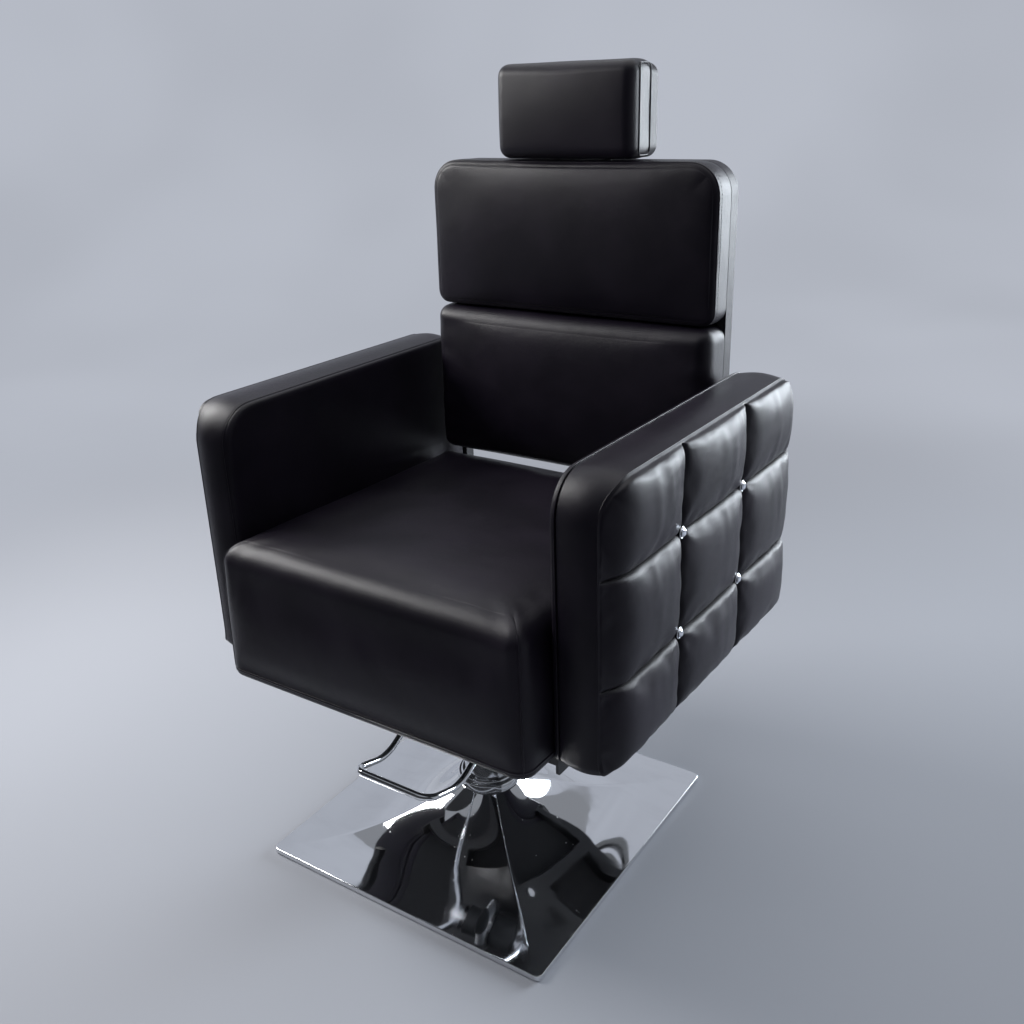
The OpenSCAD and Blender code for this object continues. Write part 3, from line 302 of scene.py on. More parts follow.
@dataclass(frozen=True)
class Leather(Finish):
    """Black coated leather cloth: pebble grain, soft folds, a duller bed in its seams, darkened
    there by painted shade.

    The grain is in pebbles a metre and the folds in folds a metre; their depths are in metres.
    """

    label: str = "leather"
    deep: Colour = (0.0067, 0.0050, 0.0102)
    bloom: Colour = (0.0125, 0.0092, 0.0172)
    # seam: the painted shade colour laid into the tucks
    seam: Colour = (0.003, 0.0025, 0.0035)
    roughness: float = 0.38
    shine: float = 0.33
    grain: float = 850.0
    grain_depth: float = 0.00011
    folds: float = 34.0
    fold_depth: float = 0.0009

    def make(self) -> bpy.types.Material:
        """Two tones drift over it, the tuck shade attribute paints shade into its seams, cells make
        its grain.
        """
        g = Graph(self.label)
        drift = g.noise(9.0, 4.0)
        tuck_shade = g.attribute("tuck_shade")
        tone = g.mixed(drift.between(0.35, 0.7), self.deep, self.bloom)
        # painted shade: the tone goes towards the seam colour in the tucks
        tone = g.mixed(tuck_shade * 0.75, tone, self.seam)
        pebbles = g.cells(self.grain, blur=0.02)
        pores = g.noise(self.grain * 2.6, 2.0)
        soft = g.noise(self.folds, 3.0)
        rough = self.roughness + (drift - 0.5) * 0.1 + (pores - 0.5) * 0.08 + tuck_shade * 0.22
        fine = g.bump(pebbles * 0.8 + pores * 0.35, self.grain_depth, 0.9)
        return g.surface(
            Base_Color=tone,
            Roughness=rough,
            Normal=g.bump(soft, self.fold_depth, 0.55, fine),
            Specular_IOR_Level=self.shine,
            IOR=1.5,
        )


@dataclass(frozen=True)
class Thread(Finish):
    """Sewing thread: twisted plies that run along the stitch."""

    label: str = "thread"
    colour: Colour = (0.02, 0.018, 0.022)
    twist: float = 3200.0

    def make(self) -> bpy.types.Material:
        """Noise with bumps a third of a millimetre apart stands in for the twist."""
        g = Graph(self.label)
        twist = g.noise(self.twist, 1.0).between(0.4, 0.6)
        tone = g.mixed(twist, self.colour, tuple(2.2 * c for c in self.colour))
        normal = g.bump(twist, 0.00008)
        return g.surface(Base_Color=tone, Roughness=0.55 + twist * 0.1, Normal=normal)


@dataclass(frozen=True)
class Chrome(Finish):
    """Polished chrome plate: a faint ripple of the pressed steel, wipe marks and dust specks."""

    label: str = "chrome"
    colour: Colour = (0.80, 0.81, 0.83)
    roughness: float = 0.035
    ripple: float = 0.0
    specks: float = 0.0
    dust: Colour = (0.42, 0.43, 0.45)

    def make(self) -> bpy.types.Material:
        """Wipe marks raise the roughness a little; specks are small dull dots of dust."""
        g = Graph(self.label)
        wipe = g.noise(14.0, 5.0, (1.0, 2.4, 1.0)).between(0.45, 0.75)
        rough: Value = wipe * 0.05 + self.roughness
        tone = g.mixed(wipe * 0.5, self.colour, tuple(0.93 * c for c in self.colour))
        if self.specks:
            dots = 1.0 - g.cells(95.0).between(0.06, 0.13)
            few = g.noise(21.0, 2.0).between(0.56, 0.66)
            spots = dots * few * self.specks
            rough = rough + spots * 0.4
            tone = g.mixed(spots * 0.45, tone, self.dust)
        inputs: dict[str, Any] = {"Base_Color": tone, "Metallic": 1.0, "Roughness": rough}
        if self.ripple:
            inputs["Normal"] = g.bump(g.noise(11.0, 1.5), self.ripple, 1.0)
        return g.surface(**inputs)


@dataclass(frozen=True)
class Metal(Finish):
    """Bare or plated metal with fine tool lines, squeezed by `lines`, and a little tarnish."""

    label: str
    colour: Colour
    roughness: float = 0.3
    lines: Colour = (1.0, 1.0, 22.0)
    tarnish: float = 0.3

    def make(self) -> bpy.types.Material:
        """Noise squeezed along one axis gives the tool lines."""
        g = Graph(self.label)
        tool = g.noise(160.0, 3.0, self.lines)
        dull = g.noise(30.0, 4.0).between(0.4, 0.75)
        tone = g.mixed(dull * self.tarnish, self.colour, tuple(0.55 * c for c in self.colour))
        rough = (tool - 0.5) * 0.16 + dull * 0.14 + self.roughness
        return g.surface(
            Base_Color=tone, Metallic=1.0, Roughness=rough, Normal=g.bump(tool, 0.00006, 0.6)
        )


@dataclass(frozen=True)
class Paint(Finish):
    """Black powder paint on steel: a fine orange peel, greyer where it is rubbed."""

    label: str = "powder_paint"
    colour: Colour = (0.018, 0.018, 0.02)
    roughness: float = 0.42
    peel: float = 900.0

    def make(self) -> bpy.types.Material:
        """Small noise for the peel, large noise for the rubbed places."""
        g = Graph(self.label)
        peel = g.noise(self.peel, 2.0)
        rub = g.noise(24.0, 4.0).between(0.55, 0.8)
        tone = g.mixed(rub * 0.5, self.colour, tuple(2.4 * c for c in self.colour))
        return g.surface(
            Base_Color=tone,
            Roughness=self.roughness + rub * 0.12 + (peel - 0.5) * 0.1,
            Normal=g.bump(peel, 0.00012, 0.7),
        )


@dataclass(frozen=True)
class Casting(Finish):
    """Painted iron casting: sandy skin, dark in its pits."""

    label: str = "casting"
    colour: Colour = (0.06, 0.062, 0.066)
    pit: Colour = (0.02, 0.02, 0.021)

    def make(self) -> bpy.types.Material:
        """Cells and noise together make the sandy skin."""
        g = Graph(self.label)
        sand = g.noise(520.0, 5.0)
        pits = 1.0 - g.cells(240.0).between(0.0, 0.25)
        tone = g.mixed(pits * 0.6, self.colour, self.pit)
        return g.surface(
            Base_Color=tone,
            Metallic=0.35,
            Roughness=0.5 + (sand - 0.5) * 0.25,
            Normal=g.bump(sand - pits * 0.4, 0.0004, 0.8),
        )


@dataclass(frozen=True)
class Rubber(Finish):
    """Moulded rubber, matt and slightly dusty."""

    label: str = "rubber"
    colour: Colour = (0.014, 0.014, 0.015)
    dust: Colour = (0.06, 0.058, 0.055)

    def make(self) -> bpy.types.Material:
        """Dust lies in broad soft patches."""
        g = Graph(self.label)
        dust = g.noise(40.0, 5.0).between(0.5, 0.8)
        skin = g.noise(1100.0, 2.0)
        return g.surface(
            Base_Color=g.mixed(dust * 0.5, self.colour, self.dust),
            Roughness=0.72 + dust * 0.15,
            Normal=g.bump(skin, 0.0002, 0.7),
        )


@dataclass(frozen=True)
class Plastic(Finish):
    """Moulded black plastic with a fine spark-eroded texture."""

    label: str = "moulded_plastic"
    colour: Colour = (0.017, 0.017, 0.018)
    polished: Colour = (0.028, 0.028, 0.03)

    def make(self) -> bpy.types.Material:
        """Tiny cells texture the skin; handling polishes patches of it."""
        g = Graph(self.label)
        skin = g.cells(1500.0)
        worn = g.noise(35.0, 3.0).between(0.5, 0.75)
        return g.surface(
            Base_Color=g.mixed(worn * 0.6, self.colour, self.polished),
            Roughness=0.52 - worn * 0.14,
            Normal=g.bump(skin, 0.00009, 0.8),
        )


@dataclass(frozen=True)
class Plywood(Finish):
    """Birch plywood: plies as bands across the board, grain along them."""

    label: str = "plywood"
    late: Colour = (0.42, 0.27, 0.14)
    early: Colour = (0.56, 0.39, 0.22)
    cross: Colour = (0.3, 0.18, 0.09)
    ply: float = 0.0015

    def make(self) -> bpy.types.Material:
        """Plies, one in two of them darker, are bands in height over streaked grain."""
        g = Graph(self.label)
        height = g.node("ShaderNodeSeparateXYZ", None, {"Vector": g.place}, "Z")
        plies = (height * (math.pi / self.ply)).sine().between(-0.3, 0.3)
        streaks = g.noise(60.0, 5.0, (14.0, 1.0, 14.0))
        tone = g.mixed(streaks.between(0.3, 0.7), self.late, self.early)
        return g.surface(
            Base_Color=g.mixed(plies * 0.35, tone, self.cross),
            Roughness=0.6 + streaks * 0.15,
            Normal=g.bump(streaks, 0.0003),
        )


@dataclass(frozen=True)
class Crystal(Finish):
    """Foil-backed cut crystal: bright facets with a slight cool tint."""

    label: str = "cut_crystal"
    colour: Colour = (0.86, 0.9, 0.97)
    tint: Colour = (0.7, 0.74, 0.82)

    def make(self) -> bpy.types.Material:
        """The foil shows as a mirror behind a clear coat; the tint drifts from stone to stone."""
        g = Graph(self.label)
        drift = g.noise(140.0, 1.0).between(0.35, 0.65)
        return g.surface(
            Base_Color=g.mixed(drift, self.colour, self.tint),
            Metallic=0.92,
            Roughness=0.05 + drift * 0.04,
            Coat_Weight=1.0,
        )


@dataclass(frozen=True)
class LiningCloth(Finish):
    """Black non-woven cloth stapled under upholstery."""

    label: str = "lining_cloth"
    shade: Colour = (0.008, 0.008, 0.009)
    fibre: Colour = (0.03, 0.03, 0.032)

    def make(self) -> bpy.types.Material:
        """A dimpled bond pattern over crossed fibres."""
        g = Graph(self.label)
        dimples = 1.0 - g.cells(620.0).between(0.1, 0.4)
        fibres = g.noise(900.0, 4.0)
        return g.surface(
            Base_Color=g.mixed(fibres, self.shade, self.fibre),
            Roughness=0.9,
            Normal=g.bump(fibres - dimples * 0.5, 0.0003),
        )


@dataclass(frozen=True)
class Paper(Finish):
    """Pale studio sweep: lit paper near the chair that turns into an even backdrop away from it.

    The turn goes from start to end, distances in metres from the column's foot.
    """

    label: str = "sweep_paper"
    near: Colour = (0.40, 0.415, 0.455)
    far: Colour = (0.43, 0.455, 0.515)
    start: float = 0.9
    end: float = 2.6

    def make(self) -> bpy.types.Material:
        """Distance blends paper into its plain colour, as the camera and the chrome see it."""
        g = Graph(self.label)
        cloud = g.noise(0.55, 2.0).between(0.3, 0.7)
        tone = g.mixed(cloud, self.near, tuple(1.06 * c for c in self.near))
        skin = {"Base Color": tone, "Roughness": 0.8, "Specular IOR Level": 0.15}
        paper = g.node("ShaderNodeBsdfPrincipled", None, skin, "BSDF")
        air = g.mixed(cloud, self.far, tuple(1.1 * c for c in self.far))
        plain = g.node("ShaderNodeEmission", None, {"Color": air, "Strength": 1.0})
        away = g.node("ShaderNodeVectorMath", {"operation": "LENGTH"}, {0: g.place}, "Value")
        eye, gloss, clear = (
            g.node("ShaderNodeLightPath", outlet=ray)
            for ray in ("Is Camera Ray", "Is Glossy Ray", "Is Transmission Ray")
        )
        share = away.between(self.start, self.end) * (eye + gloss + clear).between(0.0, 1.0)
        return g.close(g.node("ShaderNodeMixShader", None, {0: share, 1: paper, 2: plain}))


@dataclass(frozen=True)
class FlagCloth(Finish):
    """Dull black cloth of a studio flag that only reflections see: a painted dark reflection."""

    label: str = "reflection_flag_cloth"
    shade: Colour = (0.02, 0.02, 0.022)
    fibre: Colour = (0.04, 0.04, 0.043)

    def make(self) -> bpy.types.Material:
        """Weave as small noise."""
        g = Graph(self.label)
        return g.surface(Base_Color=g.mixed(g.noise(300.0), self.shade, self.fibre), Roughness=0.95)


SWEEP_PAPER = Paper()
# a sheet that only reflections see: painted dark reflection on the hide and chrome
REFLECTION_FLAG_CLOTH = FlagCloth()
HIDE = Leather()
SHELL_HIDE = Leather(label="shell_leather", roughness=0.46, grain=700.0)
CORD_HIDE = Leather(
    label="piping_leather", roughness=0.33, grain=1200.0, grain_depth=0.00005
)
SEWING = Thread()
BRIGHT = Chrome()
BELL_CHROME = Chrome(label="bell_chrome", ripple=0.0006, specks=1.0)
ZINC = Metal("zinc_plate", (0.56, 0.57, 0.59), 0.32)
STEEL_GREY = Metal("ground_steel", (0.5, 0.51, 0.53), 0.26)
GOLD_BRASS = Metal("brass", (0.68, 0.5, 0.24), 0.3)
BLACK_PAINT = Paint()
IRON = Casting()
PAD_RUBBER = Rubber()
GRIP = Plastic()
PLY = Plywood()
STONE = Crystal()
UNDERCLOTH = LiningCloth()


# Meshes

Mesh = tuple[Array, list[Array]]


def linked(name: str, data: bpy.types.ID) -> bpy.types.Object:
    """Makes an object of mesh, lamp or camera data and links it to the scene.

    Args:
        name: the object's name.
        data: what it shows.

    Returns:
        The new object.
    """
    obj = bpy.data.objects.new(name, data)
    bpy.context.scene.collection.objects.link(obj)
    return obj


def mesh_object(name: str, mesh: Mesh, smooth: float = 60.0) -> bpy.types.Object:
    """Makes an object from arrays.

    Args:
        name: the piece's name.
        mesh: an n by 3 array of points in the row frame, and arrays of vertex numbers, each array
            with one face a row.
        smooth: edges sharper than this angle, in degrees, stay sharp; 0 keeps every facet flat.

    Returns:
        The new object, linked to the scene.
    """
    points, faces = mesh
    loops = np.concatenate([np.asarray(f, np.int32).ravel() for f in faces])
    sizes = np.concatenate([np.full(len(f), np.asarray(f).shape[1], np.int32) for f in faces])
    starts = np.concatenate([[0], np.cumsum(sizes)[:-1]]).astype(np.int32)
    data = bpy.data.meshes.new(name)
    data.vertices.add(len(points))
    data.vertices.foreach_set("co", np.asarray(points, np.float32).ravel())
    data.loops.add(len(loops))
    data.loops.foreach_set("vertex_index", loops)
    data.polygons.add(len(sizes))
    data.polygons.foreach_set("loop_start", starts)
    data.update(calc_edges=True)
    data.validate()
    data.polygons.foreach_set("use_smooth", np.full(len(data.polygons), smooth > 0))
    if smooth:
        data.set_sharp_from_angle(angle=math.radians(smooth))
    return linked(name, data)


def grid_faces(
    rows: int, columns: int, wrap_rows: bool = False, wrap_columns: bool = False
) -> Array:
    """Quads of a grid whose point (row, column) has number row * columns + column.

    Args:
        rows: rows of points.
        columns: points in a row.
        wrap_rows: whether the last row joins the first.
        wrap_columns: whether each row closes on itself.

    Returns:
        One quad a row.
    """
    r = np.arange(rows if wrap_rows else rows - 1)[:, None]
    c = np.arange(columns if wrap_columns else columns - 1)[None, :]
    r2, c2 = (r + 1) % rows, (c + 1) % columns
    corners = (r * columns + c, r * columns + c2, r2 * columns + c2, r2 * columns + c)
    return np.stack(corners, -1).reshape(-1, 4)


def normalised(v: Array) -> Array:
    """Vectors of length one along the last axis."""
    return v / np.maximum(np.linalg.norm(v, axis=-1, keepdims=True), 1e-12)


def angles(steps: int) -> Array:
    """Evenly spaced angles once round, without the last one."""
    return 2 * np.pi * np.arange(steps) / steps


def tube_mesh(path: Array, side: Array, radius: float, closed: bool = True) -> Mesh:
    """A round tube: path point + radius * (cos a * side + sin a * (tangent x side)).

    Args:
        path: the centre line's points.
        side: one direction a point, roughly across the path.
        radius: the tube's radius.
        closed: whether the path closes on itself; an open one gets flat ends.

    Returns:
        Points and face arrays.
    """
    ahead = np.roll(path, -1, 0) - np.roll(path, 1, 0)
    if not closed:
        ahead[0], ahead[-1] = path[1] - path[0], path[-1] - path[-2]
    t = normalised(ahead)
    s = normalised(side - (side * t).sum(-1, keepdims=True) * t)
    b = np.cross(t, s)
    sides = 8
    a = angles(sides)
    ring = np.cos(a)[None, :, None] * s[:, None] + np.sin(a)[None, :, None] * b[:, None]
    points = (path[:, None] + radius * ring).reshape(-1, 3)
    faces = [grid_faces(len(path), sides, closed, True)]
    if not closed:
        n, last = len(path) * sides, (len(path) - 1) * sides
        points = np.concatenate([points, path[:1], path[-1:]])
        k = np.arange(sides)
        k2 = (k + 1) % sides
        faces.append(np.stack([k2, k, np.full(sides, n)], -1))
        faces.append(np.stack([last + k, last + k2, np.full(sides, n + 1)], -1))
    return points, faces


def turned_mesh(profile: Array) -> Mesh:
    """A closed profile turned round the z axis: (r cos a, r sin a, h).

    Args:
        profile: rows of radius r and height h.

    Returns:
        Points and face arrays.
    """
    steps = 128
    a = angles(steps)
    r, h = profile[:, :1], profile[:, 1:]
    points = np.stack([r * np.cos(a), r * np.sin(a), np.repeat(h, steps, 1)], -1)
    return points.reshape(-1, 3), [grid_faces(len(profile), steps, True, True)]


@dataclass(frozen=True)
class Stitching:
    """A row of stitches: their spacing, length and radius."""

    pitch: float = 0.0055
    length: float = 0.0042
    radius: float = 0.0004

    def mesh(self, path: Array, out: Array) -> Mesh:
        """Short spindles, radius * sin(pi q)^0.4 thick at share q, sunk at their ends.

        Each has six rings of six points, numbered in order, and two quads over each end.

        Args:
            path: points of the seam.
            out: the surface's outward direction at each point.

        Returns:
            Points and face arrays.
        """
        step = np.linalg.norm(np.diff(path, axis=0), axis=1)
        along = np.concatenate([[0], np.cumsum(step)])
        stitches, n = max(2, int(along[-1] / self.pitch)), 6
        centre = (np.arange(stitches) + 0.5) * along[-1] / stitches
        q = np.linspace(0.0, 1.0, n)
        at = centre[:, None] + (q - 0.5) * self.length
        mid = np.stack([np.interp(at, along, path[:, k]) for k in range(3)], -1)
        up = normalised(np.stack([np.interp(at, along, out[:, k]) for k in range(3)], -1))
        t = normalised(mid[:, -1:] - mid[:, :1]) * np.ones_like(up)
        s = normalised(np.cross(t, up))[:, :, None]
        a = angles(n)[None, None, :, None]
        thick = self.radius * np.maximum(np.sin(np.pi * q), 0.12) ** 0.4
        lift = self.radius * (np.sin(np.pi * q) ** 0.5 - 0.35)
        mid = mid + up * lift[None, :, None]
        ring = np.cos(a) * s + np.sin(a) * up[:, :, None]
        points = mid[:, :, None] + thick[None, :, None, None] * ring
        end = np.array([[5, 4, 3, 2], [5, 2, 1, 0]])
        one = np.concatenate([grid_faces(n, n, False, True), end, n * n - 1 - end])
        shift = (np.arange(stitches) * n * n)[:, None, None]
        return points.reshape(-1, 3), [(one[None] + shift).reshape(-1, 4)]


def joined(parts: Sequence[Mesh]) -> Mesh:
    """Several meshes as one.

    Args:
        parts: the meshes.

    Returns:
        Their points and face arrays, one after the other.
    """
    points, faces, start = [], [], 0
    for p, fs in parts:
        points.append(p)
        faces.extend(f + start for f in fs)
        start += len(p)
    return np.concatenate(points), faces


# Axes


def turn_x(degrees: float) -> Array:
    """Matrix of a turn about the x axis."""
    c, s = math.cos(math.radians(degrees)), math.sin(math.radians(degrees))
    return np.array([[1.0, 0.0, 0.0], [0.0, c, -s], [0.0, s, c]])


def pose(x: Array, y: Array, z: Array, at: Sequence[float]) -> Matrix:
    """Matrix that puts an object's axes along x, y and z and its origin at a point."""
    matrix = np.eye(4)
    matrix[:3] = np.stack([x, y, z, at], -1)
    return Matrix(matrix.tolist())


@dataclass(frozen=True)
class Axes:
    """Local axes in the row frame: place(p) = origin + turn p."""

    origin: Array
    turn: Array

    def place(self, points: Array) -> Array:
        """Local points in the row frame."""
        return self.origin + np.asarray(points) @ self.turn.T

    def direct(self, vectors: Array) -> Array:
        """Local directions in the row frame."""
        return np.asarray(vectors) @ self.turn.T

    def local(self, points: Array) -> Array:
        """Points of the row frame in these axes."""
        return (points - self.origin) @ self.turn

    def within(self, origin: Sequence[float], turn: Array) -> "Axes":
        """Axes given in these axes, as axes in the row frame."""
        return Axes(self.place(np.array(origin, float)), self.turn @ turn)

    def outward(self, faces: list[Array]) -> list[Array]:
        """The faces, turned over where these axes mirror."""
        return [f[:, ::-1] for f in faces] if np.linalg.det(self.turn) < 0 else faces


SEAT_RAKE = turn_x(-2.1)
RAKE_PIVOT = np.array([0.0, 0.0, 0.338])
SEAT_AXES = Axes(RAKE_PIVOT - SEAT_RAKE @ RAKE_PIVOT, SEAT_RAKE)
BACK_AXES = SEAT_AXES.within((0.0, 0.311, 0.380), turn_x(-1.0))
UPRIGHT = np.eye(3)
UP_THE_BACK = np.array([[1.0, 0.0, 0.0], [0.0, 0.0, -1.0], [0.0, 1.0, 0.0]])
OUT_TO_SIDE = np.array([[0.0, 0.0, 1.0], [1.0, 0.0, 0.0], [0.0, 1.0, 0.0]])


class Side(Enum):
    """The chair's two sides, by the sign of x."""

    LEFT = 1
    RIGHT = -1


# Pads

Lift = Callable[[Array, Array], Array]


def bow(s: Array) -> Array:
    """Parabola 4 s (1 - s): 0 at both ends and 1 halfway."""
    return 4.0 * s * (1.0 - s)


def dome(s: Array, t: Array, power: float = 1.0) -> Array:
    """Crown (bow s * bow t)^power."""
    return (np.maximum(bow(s), 0) * np.maximum(bow(t), 0)) ** power


def hump(x: Array, width: float) -> Array:
    """Bell curve exp(-(x / width)^2)."""
    return np.exp(-((x / width) ** 2))


def rounded(u: Array, v: Array, a: Array, b: Array, r: Array) -> tuple[Array, Array]:
    """Points of a square-cornered plan, moved to one with round corners.

    A corner's square is squeezed by k = max(du, dv) / |(du, dv)| towards its inner corner, from
    which du and dv are measured.

    Args:
        u: the points' places across.
        v: their places along.
        a: the plan's half width.
        b: its half length.
        r: the corners' radius.

    Returns:
        The new u and v.
    """
    du, dv = np.abs(u) - a + r, np.abs(v) - b + r
    k = np.maximum(du, dv) / np.maximum(np.hypot(du, dv), 1e-9)
    near = (du > 0) & (dv > 0)
    p = np.where(near, np.sign(u) * (a - r + du * k), u)
    return p, np.where(near, np.sign(v) * (b - r + dv * k), v)


def shares_between(marks: Sequence[float], cells: int) -> Array:
    """Grid shares, closer beside each mark: mark + gap * (1 - cos(pi k / cells)) / 2.

    Args:
        marks: the shares where seams lie, and both ends.
        cells: cells from one mark to the next.

    Returns:
        All the shares in order.
    """
    k = (1.0 - np.cos(np.pi * np.arange(1, cells + 1) / cells)) / 2.0
    m = np.asarray(marks, float)
    return np.concatenate([m[:1], (m[:-1, None] + np.diff(m)[:, None] * k).ravel()])


@dataclass
class Pad:
    """A stuffed form over a rounded rectangle.

    Its face is a grid of shares s and t of two sides; rings run down its walls from the face's rim.
    Each ring is (inset at the sides, at the low end, at the high end, height, draw). The draw pulls
    the ring in between its corners by draw * bow. A pad that is lifted whole has its walls raised
    with its face, from ring number `upright` on.
    """

    width: float
    height: float
    radii: tuple[float, float, float, float]
    rings: Array
    s_lines: Array
    t_lines: Array
    lift: Lift
    axes: Axes
    # painted shade of the face's tucks, by its shares
    tuck_shade: Lift | None = None
    bend: Callable[[Array], Array] | None = None
    whole: bool = False
    upright: int = 0

    def raised(self, points: Array, s: Array, t: Array) -> Array:
        """Adds the lift to points.

        Args:
            points: local points, changed in place.
            s: their shares of the face; a pad that is lifted whole takes those of its outline.
            t: the same along the other side.

        Returns:
            The points.
        """
        if self.whole:
            s, t = points[:, 0] / self.width + 0.5, points[:, 1] / self.height + 0.5
        points[:, 2] += self.lift(np.clip(s, 0, 1), np.clip(t, 0, 1))
        return points

    def placed(self, points: Array) -> Array:
        """Local points, bent where the pad has a bend, in the row frame."""
        return self.axes.place(points if self.bend is None else self.bend(points))

    def points_at(self, s: Array, t: Array, ring: Array) -> Array:
        """Points of a ring or of the plan inside it.

        Args:
            s: shares of the width.
            t: shares of the height.
            ring: the ring's insets, level and draw.

        Returns:
            Local points, with the ring's level as third coordinate.
        """
        side, low, high, level, draw = ring
        a, b = self.width / 2 - side, (self.height - low - high) / 2
        u, v = (2 * s - 1) * a, (2 * t - 1) * b
        full = np.where(
            v < 0,
            np.where(u < 0, self.radii[0], self.radii[1]),
            np.where(u < 0, self.radii[3], self.radii[2]),
        )
        r = np.minimum(np.maximum(full - min(side, low, high), full / 4), min(a, b))
        p, q = rounded(u, v, a, b, r)
        pull_u = draw * np.where(s <= 0, 1.0, np.where(s >= 1, -1.0, 0.0)) * bow(t)
        pull_v = draw * np.where(t <= 0, 1.0, np.where(t >= 1, -1.0, 0.0)) * bow(s)
        return np.stack([p + pull_u, q + (low - high) / 2 + pull_v, np.full_like(p, level)], -1)

    def rim(self) -> tuple[Array, Array]:
        """Shares of the face grid's rim, once round."""
        s, t = self.s_lines, self.t_lines
        return (
            np.concatenate([s[:-1], np.ones(len(t) - 1), s[:0:-1], np.zeros(len(t) - 1)]),
            np.concatenate([np.zeros(len(s) - 1), t[:-1], np.ones(len(s) - 1), t[:0:-1]]),
        )

    def inner(self) -> tuple[Array, Array]:
        """Shares of the face grid's points inside its rim, row by row."""
        s, t = np.meshgrid(self.s_lines[1:-1], self.t_lines[1:-1])
        return s.ravel(), t.ravel()

    def path(self, inset: float, level: float) -> tuple[Array, Array]:
        """A line round the pad.

        Args:
            inset: its distance inside the outline.
            level: its height.

        Returns:
            The closed line's points and its outward directions, in the row frame.
        """
        s, t = self.rim()
        p = self.points_at(s, t, np.array([inset, inset, inset, level, 0.0]))
        tangent = normalised(np.roll(p, -1, 0) - np.roll(p, 1, 0))
        out = np.cross(tangent, np.array([0.0, 0.0, 1.0]))
        if self.whole:
            p = self.raised(p, s, t)
        return self.placed(p), self.axes.direct(out)

    def arrays(self) -> tuple[Array, list[Array], Array]:
        """Points in the row frame, faces and the painted tuck shade of each point."""
        s, t = self.rim()
        gs, gt = self.inner()
        around, last = len(s), len(self.rings) - 1
        n, m = len(self.s_lines) - 1, len(self.t_lines) - 1
        walls = np.concatenate([self.points_at(s, t, ring) for ring in self.rings])
        if self.whole:
            rolls = walls[self.upright * around :]
            walls[self.upright * around :] = self.raised(rolls, rolls[:, 0], rolls[:, 1])
        face = self.raised(self.points_at(gs, gt, self.rings[last]), gs, gt)
        shift = (self.rings[0][1] - self.rings[0][2]) / 2
        points = np.concatenate([walls, face, [[0.0, shift, self.rings[0][3]]]])
        number = np.zeros((m + 1, n + 1), int)
        rim = last * around + np.arange(around)
        number[0, :n] = rim[:n]
        number[:m, n] = rim[n : n + m]
        number[m, n:0:-1] = rim[n + m : 2 * n + m]
        number[m:0:-1, 0] = rim[2 * n + m :]
        number[1:m, 1:n] = len(walls) + np.arange(len(gs)).reshape(m - 1, n - 1)
        corners = (number[:-1, :-1], number[:-1, 1:], number[1:, 1:], number[1:, :-1])
        k = np.arange(around)
        floor = np.stack([(k + 1) % around, k, np.full(around, len(points) - 1)], -1)
        wall = grid_faces(last + 1, around, False, True)
        faces = [np.stack(corners, -1).reshape(-1, 4), wall, floor]
        dark = np.zeros(len(points))
        # painted shade in the tucks, kept as the tuck shade attribute
        if self.tuck_shade is not None:
            dark[len(walls) : -1] = self.tuck_shade(gs, gt)
        return self.placed(points), self.axes.outward(faces), dark

    def soft_object(self, name: str) -> bpy.types.Object:
        """Makes the pad an object with its tuck shade attribute, the painted shade of its tucks.

        Args:
            name: the piece's name.

        Returns:
            The new object.
        """
        points, faces, dark = self.arrays()
        obj = mesh_object(name, (points, faces))
        layer = obj.data.attributes.new("tuck_shade", "FLOAT", "POINT")
        layer.data.foreach_set("value", dark.astype(np.float32))
        return obj


Rings = list[list[float]]


def level_ring(inset: float, level: float) -> Rings:
    """One ring, the same inset all round and not drawn in."""
    return [[inset, inset, inset, level, 0.0]]


def rolled(side: float, low: float, high: float, level: float, rise: float, steps: int) -> Rings:
    """Rings of a rolled edge: insets grow as 1 - cos a and the height as sin a over a quarter turn.

    Args:
        side: the whole inset at the sides.
        low: the same at the low end.
        high: the same at the high end.
        level: the height where the roll begins.
        rise: how far it rises.
        steps: rings after the first.

    Returns:
        The rings, from the wall to the face.
    """
    a = np.pi / 2 * np.arange(steps + 1) / steps
    c = 1 - np.cos(a)
    return np.stack([side * c, low * c, high * c, level + rise * np.sin(a), 0 * a], -1).tolist()


def wall_rings(low: float, high: float, draw: float, belly: float, steps: int) -> Rings:
    """Rings of an upright wall: it bellies out by belly * sin(pi q), drawn in between its corners.

    Args:
        low: the wall's lower height.
        high: its upper height.
        draw: how far it is drawn in halfway up.
        belly: how far it bellies out halfway up.
        steps: one more than the number of rings.

    Returns:
        The rings between both heights.
    """
    q = np.arange(1, steps) / steps
    out = -belly * np.sin(np.pi * q)
    return np.stack([out, out, out, low + (high - low) * q, draw * np.sin(np.pi * q)], -1).tolist()


def refined(obj: bpy.types.Object) -> None:
    """Adds one subdivision, the same on screen and in the render."""
    finer = obj.modifiers.new("finer", "SUBSURF")
    finer.levels = finer.render_levels = 1
    finer.use_limit_surface = False


def coordinates(mesh: bpy.types.Mesh) -> Array:
    """A mesh's points as an array."""
    co = np.zeros(len(mesh.vertices) * 3, np.float32)
    mesh.vertices.foreach_get("co", co)
    return co.reshape(-1, 3).astype(float)


@dataclass(frozen=True)
class Settling:
    """Where a cover's points lay before the cloth simulation, and how each one moved."""

    start: Array
    move: Array

    def carried(self, points: Array) -> Array:
        """Points of a seam, each moved as the nearest of the cover's own points was moved."""
        gap = ((points[:, None] - self.start[None]) ** 2).sum(-1)
        return points + self.move[gap.argmin(1)]


